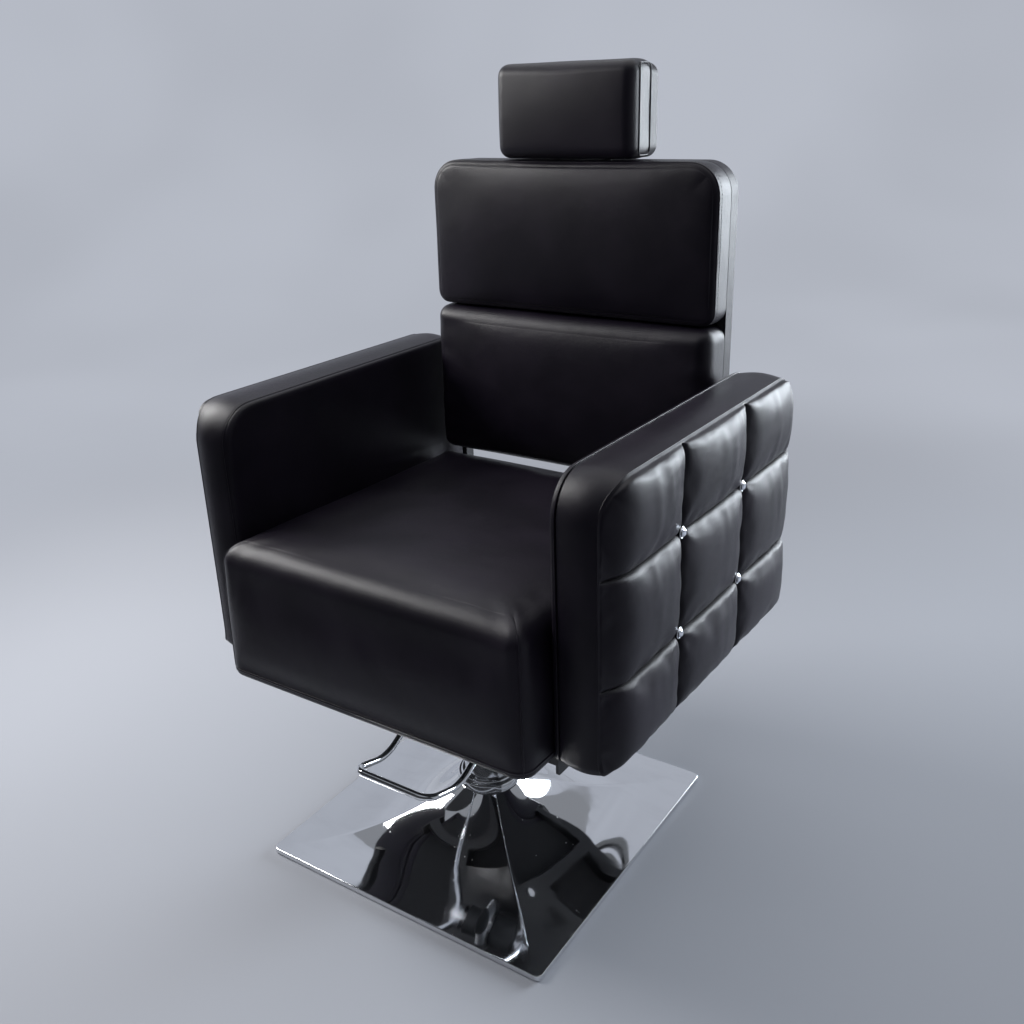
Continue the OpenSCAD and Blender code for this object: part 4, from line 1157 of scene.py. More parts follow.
@dataclass(frozen=True)
class Stuffing:
    """How a pad's cover settles over its foam in the cloth simulation.

    The pressure is the foam's, the cap the furthest that a point may move, the slack the share by
    which the cover is larger than its foam, and ease how often the moves are evened out.
    """

    pressure: float = 3.0
    cap: float = 0.006
    slack: float = 0.0
    ease: int = 0
    frames: int = 20
    quality: int = 5
    mass: float = 0.3
    stiffness: float = 15.0
    shear: float = 5.0
    bending: float = 0.6

    def simulated(self, obj: bpy.types.Object, held: Array) -> Array:
        """Inflates the cover in a cloth simulation.

        Args:
            obj: the pad, in place.
            held: for each point, 1 where the cover is sewn or stapled down and 0 where it is free.

        Returns:
            The points at the simulation's last frame.
        """
        group = obj.vertex_groups.new(name="held")
        share = np.round(held, 2)
        for weight in np.unique(share[share > 0]):
            group.add(np.nonzero(share == weight)[0].tolist(), float(weight), "REPLACE")
        cloth = obj.modifiers.new("Cloth", "CLOTH")
        settings = cloth.settings
        settings.quality = self.quality
        settings.mass = self.mass
        settings.tension_stiffness = settings.compression_stiffness = self.stiffness
        settings.shear_stiffness = self.shear
        settings.bending_stiffness = self.bending
        settings.use_pressure = True
        settings.uniform_pressure_force = self.pressure
        settings.vertex_group_mass = "held"
        settings.shrink_min = -self.slack
        settings.effector_weights.gravity = 0.0
        cloth.collision_settings.use_collision = False
        cloth.collision_settings.use_self_collision = False
        cloth.point_cache.frame_start, cloth.point_cache.frame_end = 1, self.frames
        scene = bpy.context.scene
        for frame in range(1, self.frames + 1):
            scene.frame_set(frame)
        graph = bpy.context.evaluated_depsgraph_get()
        moved = coordinates(obj.evaluated_get(graph).data)
        obj.modifiers.remove(cloth)
        obj.vertex_groups.remove(group)
        scene.frame_set(1)
        return moved

    def settle(self, obj: bpy.types.Object, held: Array) -> Settling:
        """Each point moves by its simulated move, shortened to cap * (1 - exp(-|move| / cap)). The
        moves are then evened out ease times, each with the mean of its neighbours' moves.

        Args:
            obj: the pad, in place.
            held: for each point, 1 where the cover is sewn or stapled down and 0 where it is free.

        Returns:
            Each point's place before and its move.
        """
        mesh = obj.data
        start = coordinates(mesh)
        move = np.zeros_like(start)
        move = self.simulated(obj, held) - start
        size = np.linalg.norm(move, axis=1, keepdims=True)
        move *= self.cap * (1 - np.exp(-size / self.cap)) / np.maximum(size, 1e-9)
        move = np.where(np.isfinite(move), move, 0.0)
        ends = np.zeros(len(mesh.edges) * 2, np.int32)
        mesh.edges.foreach_get("vertices", ends)
        one = np.concatenate([ends[::2], ends[1::2]])
        two = np.concatenate([ends[1::2], ends[::2]])
        n = len(start)
        count = np.maximum(np.bincount(one, minlength=n), 1)
        for _ in range(self.ease):
            mean = [np.bincount(one, move[two, k], n) / count for k in range(3)]
            move = (move + np.stack(mean, -1)) / 2 * (1 - held[:, None])
        mesh.vertices.foreach_set("co", (start + move).astype(np.float32).ravel())
        mesh.update()
        furthest = 1000 * float(np.linalg.norm(move, axis=1).max())
        LOG.info("%s settled, moves up to %.1f mm", obj.name, furthest)
        refined(obj)
        return Settling(start, move)


# Sub-assemblies


@dataclass
class SubAssembly:
    """Pieces of one sub-assembly and the CAD nodes that it dresses."""

    nodes: Mapping[str, bpy.types.Object]

    def add(
        self,
        obj: bpy.types.Object,
        body: str,
        finish: Finish,
        slot: str,
        replaces: Sequence[str] = (),
    ) -> None:
        """Puts a finished piece in the assembly.

        Args:
            obj: the piece.
            body: the body that it rides on.
            finish: what it wears.
            slot: its material slot; not used.
            replaces: the CAD nodes that it stands for.
        """
        finish.dress(obj)
        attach(obj, body)
        if replaces:
            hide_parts(*replaces)
        LOG.info("made %s, %d faces, on %s", obj.name, len(obj.data.polygons), body)

    def trim(self, name: str, body: str, mesh: Mesh, finish: Finish = CORD_HIDE) -> None:
        """Adds piping, or stitches in their own finish, to the upholstery of a body."""
        self.add(mesh_object(name, mesh), body, finish, "upholstery")

    def paint(self, finish: Finish, *names: str) -> None:
        """Gives CAD nodes a finish.

        Args:
            finish: what they wear.
            names: the nodes.
        """
        for name in names:
            finish.dress(self.nodes[name])
            LOG.info("dressed %s in %s", name, finish.label)


@dataclass
class PumpBase(SubAssembly):
    """Square pressed bell, column, collar and pump.

    The bell rises from the rim's top to the neck as a power of the share of the way in.
    """

    half: float = 0.255
    corner: float = 0.009
    rim_foot: float = 0.002
    rim_top: float = 0.010
    rim_edge: float = 0.0012
    rise: float = 0.074
    neck: float = 0.049
    neck_hole: float = 0.041
    wall: float = 0.0025
    power: float = 3.0
    column: float = 0.040
    column_low: float = 0.0072
    column_top: float = 0.2362
    column_wall: float = 0.003
    column_edge: float = 0.001
    collar: float = 0.052
    collar_high: float = 0.014
    collar_edge: float = 0.0008
    collar_roll: float = 0.003
    collar_play: float = 0.00005
    step: float = 0.006
    step_edge: float = 0.0006
    step_high: float = 0.0045
    step_roll: float = 0.0028
    spring_wire: float = 0.0009
    spring_turns: int = 5
    plunger_stroke: float = 0.007
    bell_columns: int = 640
    bell_rows: int = 90
    bell_bunching: float = 1.15
    underside_rows: int = 24
    arc_steps: int = 8

    def outline(self, angle: Array, b: Array, inset: Array) -> Array:
        """Bell's plan: (1 - b) * rounded square + b * neck circle.

        Args:
            angle: the direction from the column.
            b: the share of the way up.
            inset: the distance inside the outer skin.

        Returns:
            Places (x, y) along the last axis.
        """
        c, s = np.cos(angle), np.sin(angle)
        half = self.half - inset
        k = half / np.maximum(np.abs(c), np.abs(s))
        x, y = rounded(c * k, s * k, half, half, self.corner)
        ring = self.neck - inset
        return np.stack([(1 - b) * x + b * ring * c, (1 - b) * y + b * ring * s], -1)

    def build_bell(self) -> None:
        """Bell: height rim_top + rise * b^power over the blended outline, with a rounded rim edge.

        Each row of the table is the share b, the inset and the height of one ring: up the outside
        and back down the underside.
        """
        around = self.bell_columns
        edge, top, bore = self.rim_edge, self.rim_top, self.neck - self.neck_hole
        over = np.linspace(0.0, 1.0, self.bell_rows)[1:] ** self.bell_bunching
        under = np.linspace(1.0, 0.0, self.underside_rows)
        q = np.linspace(0, np.pi / 2, 6)[1:]
        rows = [(0.0, self.wall, self.rim_foot), (0.0, 0.0, self.rim_foot), (0.0, 0.0, top - edge)]
        rows += [(0.0, edge * (1 - np.cos(x)), top - edge + edge * np.sin(x)) for x in q]
        rows += [(x, edge * (1 - x), top + self.rise * x**self.power) for x in over]
        rows += [(1.0, bore, top + self.rise), (1.0, bore, top + self.rise - self.wall)]
        rows += [(x, self.wall, top + self.rise * x**self.power - self.wall) for x in under]
        b, inset, height = (column[:, None] for column in np.array(rows).T)
        angle = 2 * np.pi * (np.arange(around) + 0.5) / around
        plan = self.outline(*np.broadcast_arrays(angle[None, :], b, inset))
        points = np.concatenate([plan, np.repeat(height, around, 1)[..., None]], -1).reshape(-1, 3)
        faces = grid_faces(len(rows), around, True, True)
        bell = mesh_object("bell_cover", (points, [faces]), 50.0)
        self.add(bell, "base", BELL_CHROME, "chrome", ["base_cover"])

    def build_column(self) -> None:
        """Turned column tube, and the collar's stepped and rounded rings."""
        r, low, high = self.column, self.column_low, self.column_top
        edge, bore = self.column_edge, self.column - self.column_wall
        tube = np.array([[r, low], [r, high - edge], [r - edge, high], [bore, high], [bore, low]])
        column = mesh_object("column_sleeve", turned_mesh(tube), 30.0)
        self.add(column, "base", BRIGHT, "chrome", ["column_tube"])
        z, lip, hole = self.rim_top + self.rise, self.collar_roll, r + self.collar_play
        top, step, small = z + self.collar_high, r + self.step, self.step_roll
        q = np.linspace(0, np.pi / 2, self.arc_steps)
        edge, ledge = self.collar_edge, self.step_edge
        foot = [[hole, z], [self.collar - edge, z], [self.collar, z + edge]]
        roll = [[self.collar - lip + lip * np.cos(x), top - lip + lip * np.sin(x)] for x in q]
        crest = top + self.step_high - small
        ring = [[step - small + small * np.cos(x), crest + small * np.sin(x)] for x in q]
        profile = foot + roll + [[step + ledge, top], [step, top + ledge]] + ring
        profile = np.array(profile + [[hole, top + self.step_high]])
        collar = mesh_object("collar_trim", turned_mesh(profile), 30.0)
        self.add(collar, "base", BRIGHT, "chrome", ["collar_ring"])

    def build_spring(self) -> None:
        """Return spring: a wire up a helix round the plunger, over the CAD spring's full height."""
        low, high = (np.array(corner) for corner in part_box("pump_spring"))
        middle, tall = (low + high) / 2, float(high[2] - low[2])
        radius = (high[0] - low[0]) / 2 - self.spring_wire
        points_a_turn = 24
        share = np.linspace(0, 1, points_a_turn * self.spring_turns + 1)
        angle = 2 * np.pi * self.spring_turns * share
        out = np.stack([np.cos(angle), np.sin(angle), 0 * angle], -1)
        line = middle * np.array([1.0, 1.0, 0.0]) + radius * out
        line[:, 2] = low[2] + self.spring_wire + share * (tall - 2 * self.spring_wire)
        wire = tube_mesh(line, out, self.spring_wire, closed=False)
        spring = mesh_object("return_spring", wire)
        self.add(spring, "base", ZINC, "zinc_steel", ["pump_spring"])
        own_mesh(spring)

    def build(self) -> None:
        """Everything on the body base."""
        self.build_bell()
        self.build_column()
        self.build_spring()
        self.paint(PAD_RUBBER, "floor_pads")
        self.paint(BLACK_PAINT, "ballast_plate", "column_flange")
        self.paint(ZINC, "flange_bolts", "pump_spring")
        self.paint(STEEL_GREY, "pump_cylinder")
        self.paint(IRON, "pump_head")
        self.paint(GOLD_BRASS, "ram_gland")


@dataclass
class Pump(SubAssembly):
    """Pedal, plunger and ram."""

    def build(self) -> None:
        """Pieces that move when the chair is pumped up."""
        self.paint(BRIGHT, "pedal_bar", "pedal_shaft", "ram")
        self.paint(ZINC, "pump_rocker", "pump_plunger")
        self.paint(STEEL_GREY, "ram_piston")
        self.paint(PAD_RUBBER, "piston_ring")
        self.paint(GOLD_BRASS, "thrust_washer")


def foot_rings(wrap: float, board: float, bevel: float) -> Rings:
    """Rings of a cover's foot.

    Args:
        wrap: how far the cover is turned in under the pad.
        board: the height inside the pad at which it ends, on the board.
        bevel: the bevel between its underside and its wall.

    Returns:
        The rings, from the middle outwards.
    """
    inside = level_ring(wrap, board) + level_ring(wrap, 0.0)
    return inside + level_ring(bevel, 0.0) + level_ring(0.0, bevel)


def well(s: Array, t: Array, at: tuple[float, float], size: tuple[float, float]) -> Array:
    """Round low in a face: exp(-((s - at) / size)^2 - ((t - at) / size)^2), 1 at its middle."""
    return np.exp(-(((s - at[0]) / size[0]) ** 2) - (((t - at[1]) / size[1]) ** 2))


@dataclass
class Seat(SubAssembly):
    """Seat frame and its deep box cushion.

    The roll is how far the upper edge is rolled in at the sides, the front and the rear. The dish
    lies at shares of the width and depth, and so does its size.
    """

    width: float = 0.523
    depth: float = 0.542
    thick: float = 0.198
    underside: float = 0.333
    front: float = -0.269
    corner: float = 0.024
    board: float = 0.018
    wrap: float = 0.018
    rise: float = 0.026
    roll: tuple[float, float, float] = (0.026, 0.030, 0.024)
    roll_steps: int = 12
    low_edge: float = 0.010
    draw: float = 0.0016
    belly: float = 0.0012
    crown: float = 0.011
    nose: float = 0.008
    nose_reach: float = 0.45
    dish: float = 0.0035
    dish_at: tuple[float, float] = (0.5, 0.55)
    dish_size: tuple[float, float] = (0.24, 0.26)
    wave: float = 0.0004
    welt: float = 0.0024
    welt_inset: float = 0.0012
    welt_level: float = 0.0045
    seam: float = 0.0013
    sewn: float = 0.03
    foot_steps: int = 7
    wall_steps: int = 12
    cells: int = 64

    def pad(self) -> Pad:
        """Cushion: upright walls, a full roll over its upper edges and a rounded foot."""
        e, wall = self.low_edge, self.thick - self.rise
        q = np.linspace(0, np.pi / 2, self.foot_steps)
        turn = e * (1 - np.sin(q))
        foot = np.stack([turn / 2, turn, turn / 2, e * (1 - np.cos(q)), 0 * q], -1).tolist()
        rings = (
            level_ring(self.wrap, self.board)
            + level_ring(self.wrap, 0.0)
            + foot
            + wall_rings(e, wall, self.draw, self.belly, self.wall_steps)
            + rolled(*self.roll, wall, self.rise, self.roll_steps)
        )
        return Pad(
            width=self.width,
            height=self.depth,
            radii=(self.corner,) * 4,
            rings=np.array(rings),
            s_lines=shares_between([0, 1], self.cells),
            t_lines=shares_between([0, 1], self.cells),
            lift=self.lift,
            axes=SEAT_AXES.within((0.0, self.front + self.depth / 2, self.underside), UPRIGHT),
            whole=True,
            upright=len(rings) - self.roll_steps - 1,
        )

    def corner_seam(self, pad: Pad, s: float) -> tuple[Array, Array]:
        """Seam up a front corner, from the foot to half way over the roll.

        Args:
            pad: the cushion.
            s: 0 for one front corner, 1 for the other.

        Returns:
            The corner's point of each ring, and the directions out of the front there.
        """
        low, over = 4, self.roll_steps // 2
        rings = pad.rings[low:-over]
        at = np.array([s]), np.array([0.0])
        corner = np.concatenate([pad.points_at(*at, ring) for ring in rings])
        rolls = corner[pad.upright - low :]
        corner[pad.upright - low :] = pad.raised(rolls, rolls[:, 0], rolls[:, 1])
        out = np.repeat([[2 * s - 1, -1.0, 0.0]], len(corner), 0)
        return pad.placed(corner), pad.axes.direct(out)

    def lift(self, s: Array, t: Array) -> Array:
        """Crown * (bow s * bow t)^0.6 + nose * exp(-(t / reach)^2), less a dish, with faint waves.

        Args:
            s: shares of the width.
            t: shares of the depth, 0 at the front.

        Returns:
            How far the cover stands over its flat form.
        """
        waves = np.sin(2 * np.pi * (2.3 * s + 0.8 * t))
        waves += np.sin(2 * np.pi * (1.1 * s - 2.7 * t) + 1.0)
        full = self.crown * dome(s, t, 0.6) + self.nose * hump(t, self.nose_reach)
        dish = self.dish * well(s, t, self.dish_at, self.dish_size)
        return full - dish + self.wave * waves * dome(s, t)

    def build_cushion(self) -> None:
        """Cushion, settled over its foam, with the welt round its foot and its corner seams."""
        pad = self.pad()
        cushion = pad.soft_object("seat_pad")
        level = SEAT_AXES.local(coordinates(cushion.data))[:, 2]
        held = np.where(level < self.underside + self.sewn, 1.0, 0.0)
        settling = Stuffing(cap=0.005, ease=3).settle(cushion, held)
        self.add(cushion, "seat", HIDE, "upholstery", ["seat_cushion"])
        line, out = pad.path(self.welt_inset, self.welt_level)
        parts = [tube_mesh(settling.carried(line), out, self.welt)]
        for s in (0.0, 1.0):
            line, out = self.corner_seam(pad, s)
            parts.append(tube_mesh(settling.carried(line), out, self.seam, closed=False))
        self.trim("seat_piping", "seat", joined(parts))

    def build(self) -> None:
        """Everything of the seat itself on the body seat."""
        self.build_cushion()
        self.paint(BLACK_PAINT, "seat_hub", "seat_plate", "frame_rails", "cross_tubes")
        self.paint(BLACK_PAINT, "arm_brackets")
        self.paint(ZINC, "mount_bolts", "arm_bolts")
        self.paint(UNDERCLOTH, "seat_board")


@dataclass
class Arm(SubAssembly):
    """One box arm: a lining inside, a boxing strip round it and nine tufts outside.

    Marks are the shares of the length and height at which the face is tucked. A tuck, and a
    button's pull, is its depth and its width. A gather is its place along a panel and its width,
    both as shares of the panel. Levels are heights over the core's side.
    """

    side: Side = Side.LEFT
    inner: float = 0.266
    lining: float = 0.010
    depth: float = 0.070
    length: float = 0.555
    high: float = 0.382
    front: float = -0.213
    foot: float = 0.338
    radii: tuple[float, float, float, float] = (0.010, 0.012, 0.046, 0.056)
    edge: float = 0.006
    belly: float = 0.0042
    y_marks: tuple[float, ...] = (0.0, 0.33, 0.68, 1.0)
    z_marks: tuple[float, ...] = (0.0, 0.305, 0.69, 1.0)
    puff: float = 0.014
    upright_tuck: tuple[float, float] = (0.0042, 0.0045)
    level_tuck: tuple[float, float] = (0.0022, 0.003)
    button_pull: tuple[float, float] = (0.003, 0.011)
    folds: int = 7
    fold: float = 0.0016
    fold_reach: float = 0.028
    gathers: tuple[tuple[float, float], ...] = (
        (0.5, 0.035), (0.62, 0.022), (0.72, 0.03), (0.81, 0.018), (0.9, 0.022),
    )
    gather: float = 0.0023
    ripple: float = 0.0006
    # widths of the painted shade in the upright and level tucks, then its share at a level tuck
    tuck_shades: tuple[float, float] = (0.0035, 0.0025)
    level_tuck_shade: float = 0.7
    front_fall: float = 0.013
    front_reach: float = 0.023
    front_level: float = 0.028
    wrap: float = 0.008
    board: float = 0.018
    bevel: float = 0.001
    wall_steps: int = 12
    cells: tuple[int, int] = (26, 22)
    piping: float = 0.0008
    piping_inset: float = 0.0006
    piping_level: float = 0.066
    lining_edge: float = 0.007
    lining_crown: float = 0.0016
    lining_cells: tuple[int, int] = (48, 36)
    lining_piping: float = 0.0010
    lining_piping_level: float = 0.0015
    stitch: float = 0.00042
    stitch_level: float = 0.006
    stone: float = 0.0072
    stone_high: float = 0.0046
    stone_level: float = 0.0012
    bezel: float = 0.0075
    bezel_wire: float = 0.0009
    bezel_level: float = 0.0016

    @property
    def label(self) -> str:
        """The side's word in the names of pieces and nodes."""
        return self.side.name.lower()

    def axes(self, out: float, facing: float = 1.0) -> Axes:
        """Axes at the arm's middle: u to the rear, v up, w away from the sitter or towards them.

        Args:
            out: the distance of their origin from the chair's middle.
            facing: 1 where w points away from the sitter, -1 where it points to them.

        Returns:
            The axes.
        """
        sign = float(self.side.value)
        middle = (sign * out, self.front + self.length / 2, self.foot + self.high / 2)
        return SEAT_AXES.within(middle, np.diag([sign * facing, 1.0, 1.0]) @ OUT_TO_SIDE)

    @staticmethod
    def panel(s: Array, marks: Sequence[float]) -> tuple[Array, Array]:
        """Finds the panel that a share lies in.

        Args:
            s: shares of the whole face.
            marks: where its tucks and ends lie.

        Returns:
            The panels' numbers and the shares within them.
        """
        m = np.asarray(marks)
        k = np.clip(np.searchsorted(m, s, "right") - 1, 0, len(m) - 2)
        return k, np.clip((s - m[k]) / (m[k + 1] - m[k]), 0, 1)

    def from_marks(self, s: Array, t: Array) -> tuple[Array, Array]:
        """Distances, along and up the arm, from each of the inner marks, along the last axis."""
        m, n = np.asarray(self.y_marks[1:-1]), np.asarray(self.z_marks[1:-1])
        w, z = self.length - 2 * self.edge, self.high - 2 * self.edge
        return (s[..., None] - m) * w, (t[..., None] - n) * z

    def lift(self, s: Array, t: Array) -> Array:
        """Nine puffs with tucks and folds.

        Each puff is puff * (bow a)^0.36 * (bow b)^0.4 over the panel's own shares a and b, flatter
        in its upper half, where the power of bow b is 0.2, and leans down. A tuck of depth p and
        width w cuts in by p * exp(-(d / w)^2) at distance d, and so does each button's pull. Folds
        run out of each button as cos(folds * angle) * exp(-r / reach), and gathers run down from
        the upper edge of each panel.

        Args:
            s: shares of the length, 0 at the front.
            t: shares of the height, 0 at the foot.

        Returns:
            How far the cover stands over its flat form.
        """
        i, a = self.panel(s, self.y_marks)
        j, b = self.panel(t, self.z_marks)
        lean = 0.12 * np.sin(2 * np.pi * b)
        top = np.clip(bow(b) * (1 - lean), 0, 1)
        h = self.puff * bow(a) ** 0.36 * top ** np.where(b > 0.5, 0.2, 0.4)
        du, dv = self.from_marks(s, t)
        for distance, (deep, wide) in ((du, self.upright_tuck), (dv, self.level_tuck)):
            h -= (deep * hump(distance, wide)).sum(-1)
        phase = 1.7 * i + 2.9 * j
        for k, (at, wide) in enumerate(self.gathers):
            line = at + 0.03 * np.sin(phase + 2.1 * k)
            line = line + 0.05 * np.sin(3.1 * b + phase + k) * (1 - b)
            reach = 0.5 + 0.35 * np.sin(1.3 * phase + 2.7 * k)
            fade = 1 / (1 + np.exp(-(b - 1 + reach) / 0.07)) * np.clip((1 - b) / 0.08, 0, 1)
            size = self.gather * (0.4 + 0.35 * j) * (0.7 + 0.3 * np.sin(phase + 4 * k))
            h += size * hump(a - line, wide) * fade * (1 - 0.4 * (i == 2))
        deep, wide = self.button_pull
        for m, bu in enumerate(self.y_marks[1:-1]):
            for n, bv in enumerate(self.z_marks[1:-1]):
                r, angle = np.hypot(du[..., m], dv[..., n]), np.arctan2(dv[..., n], du[..., m])
                rays = np.cos(self.folds * angle + 3 * bu + 5 * bv) * np.exp(-r / self.fold_reach)
                h += self.fold * (rays * (1 - hump(r, 0.01)))
                h -= deep * hump(r, wide)
        wave = self.ripple * np.sin(2 * np.pi * (2.2 * s + 1.3 * t))
        return h + wave * (bow(a) * bow(b)) ** 0.5

    def tuck_shade(self, s: Array, t: Array) -> Array:
        """Painted shade in the tucks, which also marks where the cover is held down.

        It is exp(-(d / w)^2) at distance d from the nearest upright one, with the first of the
        creases' widths as w, and a share of the same at a level one, whichever is more.

        Args:
            s: shares of the length.
            t: shares of the height.

        Returns:
            The painted shade, from 0 to 1.
        """
        du, dv = (np.min(np.abs(d), -1) for d in self.from_marks(s, t))
        upright, level = self.tuck_shades
        return np.maximum(hump(du, upright), self.level_tuck_shade * hump(dv, level))

    def bend(self, points: Array) -> Array:
        """Rounds the front edge in plan: the outer face falls back by fall * exp(-(x / reach)^2).

        x is the distance from the arm's front; the fall grows from nothing at the inner part of the
        boxing to its full size at the face, and less of it reaches the top and bottom edges.

        Args:
            points: local points.

        Returns:
            The bent points.
        """
        p = points.copy()
        x = p[:, 0] + self.length / 2
        q = np.clip((p[:, 2] - self.front_level) / (self.depth - self.front_level), 0.0, 1.3)
        y = np.clip(1 - np.abs(p[:, 1]) / (self.high / 2), 0, 1)
        fall = self.front_fall * hump(x, self.front_reach)
        p[:, 2] -= fall * q**1.5 * (1 - np.exp(-y / 0.05) * 0.5)
        return p

    def pad(self) -> Pad:
        """Outer pad: a slightly full boxing strip, a small roll and the tufted face."""
        d, e = self.depth, self.edge
        rings = (
            foot_rings(self.wrap, self.board, self.bevel)
            + wall_rings(self.bevel, d - e, 0.0, self.belly, self.wall_steps)
            + rolled(e, e, e, d - e, e, 6)[:-2]
        )
        return Pad(
            width=self.length,
            height=self.high,
            radii=self.radii,
            rings=np.array(rings),
            s_lines=shares_between(self.y_marks, self.cells[0]),
            t_lines=shares_between(self.z_marks, self.cells[1]),
            lift=self.lift,
            axes=self.axes(self.inner + self.lining),
            tuck_shade=self.tuck_shade,
            bend=self.bend,
        )

    def build_cover(self, pad: Pad) -> None:
        """Outer pad, held at its walls and tucks, and its piping.

        Args:
            pad: the outer pad's form.
        """
        cover = pad.soft_object(f"{self.label}_arm_cover")
        walls = len(pad.rings) * len(pad.rim()[0])
        held = np.ones(len(cover.data.vertices))
        # the tucks are held where their painted shade is over 0.2
        held[walls:-1] = np.where(self.tuck_shade(*pad.inner()) > 0.2, 1.0, 0.0)
        Stuffing(cap=0.0035, slack=0.02, ease=1).settle(cover, held)
        self.add(cover, "seat", HIDE, "upholstery", [f"{self.label}_arm_pad"])
        line, out = pad.path(self.piping_inset, self.piping_level)
        self.trim(f"{self.label}_arm_piping", "seat", tube_mesh(line, out, self.piping))

    def build_lining(self, outer: Pad) -> None:
        """Inner side panel with a rounded inner edge, its piping and the stitches on the boxing.

        Args:
            outer: the outer pad's form.
        """
        e, wall = self.lining_edge, self.lining - self.lining_edge
        rings = level_ring(0.0, 0.0) + level_ring(0.0, wall) + rolled(e, e, e, wall, e, 5)[1:]
        pad = Pad(
            width=self.length,
            height=self.high,
            radii=self.radii,
            rings=np.array(rings),
            s_lines=shares_between([0, 1], self.lining_cells[0]),
            t_lines=shares_between([0, 1], self.lining_cells[1]),
            lift=lambda s, t: self.lining_crown * (bow(s) * bow(t)) ** 0.35,
            axes=self.axes(self.inner + self.lining, -1.0),
        )
        panel = pad.soft_object(f"{self.label}_arm_inside")
        refined(panel)
        self.add(panel, "seat", HIDE, "upholstery", [f"{self.label}_arm_lining"])
        line, out = pad.path(0.0, self.lining_piping_level)
        self.trim(f"{self.label}_inner_piping", "seat", tube_mesh(line, out, self.lining_piping))
        stitches = Stitching(radius=self.stitch).mesh(*outer.path(0.0, self.stitch_level))
        self.trim(f"{self.label}_arm_stitches", "seat", stitches, SEWING)

    def stone_mesh(self, x: float, y: float) -> Mesh:
        """A cut stone: table, star and girdle facets over a flat back.

        Rings of eight points lie at shares of its radius and height, every other ring turned by
        half a facet, and triangles join each ring to the next.

        Args:
            x: its place along the arm.
            y: its place up the arm.

        Returns:
            Points and face arrays.
        """
        n, r, h, level = 8, self.stone, self.stone_high, self.stone_level
        shares = ((0.5, 1.0, 0.0), (0.82, 0.66, 0.5), (1.0, 0.2, 0.0), (0.92, 0.0, 0.5))
        rings = []
        for wide, tall, turn in shares:
            k = angles(n) + turn * 2 * np.pi / n
            across, along = x + wide * r * np.cos(k), y + wide * r * np.sin(k)
            rings.append(np.stack([across, along, np.full(n, level + tall * h)], -1))
        i = np.arange(n)
        i2 = (i + 1) % n
        tris = []
        for row in range(len(rings) - 1):
            up, down = n * row, n * row + n
            if row % 2:
                tris += [(up + i, down + i, down + i2), (up + i, down + i2, up + i2)]
            else:
                tris += [(up + i, down + i, up + i2), (down + i, down + i2, up + i2)]
        last = n * len(rings)
        tris.append((last - n + i2, last - n + i, np.full(n, last)))
        sides = np.concatenate([np.stack(corners, -1) for corners in tris])
        return np.concatenate(rings + [[[x, y, level]]]), [np.array([i]), sides]

    def bezel_mesh(self, x: float, y: float) -> Mesh:
        """A thin wire ring round a stone.

        Args:
            x: its place along the arm.
            y: its place up the arm.

        Returns:
            Points and face arrays.
        """
        q = angles(28)
        across, along = x + self.bezel * np.cos(q), y + self.bezel * np.sin(q)
        line = np.stack([across, along, np.full(len(q), self.bezel_level)], -1)
        return tube_mesh(line, np.repeat([[0.0, 0.0, 1.0]], len(q), 0), self.bezel_wire)

    def build_buttons(self) -> None:
        """Four cut stones in their bezels, sunk where the tucks cross."""
        axes = self.axes(self.inner + self.lining + self.depth)
        u, v = self.length / 2 - self.edge, self.high / 2 - self.edge
        across, up = self.y_marks[1:-1], self.z_marks[1:-1]
        places = [((2 * s - 1) * u, (2 * t - 1) * v) for s in across for t in up]

        def settled(meshes: Sequence[Mesh]) -> Mesh:
            """The meshes as one, in the row frame, facing outwards on both sides of the chair."""
            points, faces = joined(meshes)
            return axes.place(points), axes.outward(faces)

        stones = settled([self.stone_mesh(*place) for place in places])
        bezels = settled([self.bezel_mesh(*place) for place in places])
        stones = mesh_object(f"{self.label}_arm_stones", stones, 0.0)
        self.add(stones, "seat", STONE, "crystal", [f"{self.label}_arm_buttons"])
        rims = mesh_object(f"{self.label}_arm_bezels", bezels)
        self.add(rims, "seat", BRIGHT, "crystal")

    def build(self) -> None:
        """The whole arm, on the body seat."""
        pad = self.pad()
        self.build_cover(pad)
        self.build_lining(pad)
        self.build_buttons()
        self.paint(PLY, f"{self.label}_arm_core")


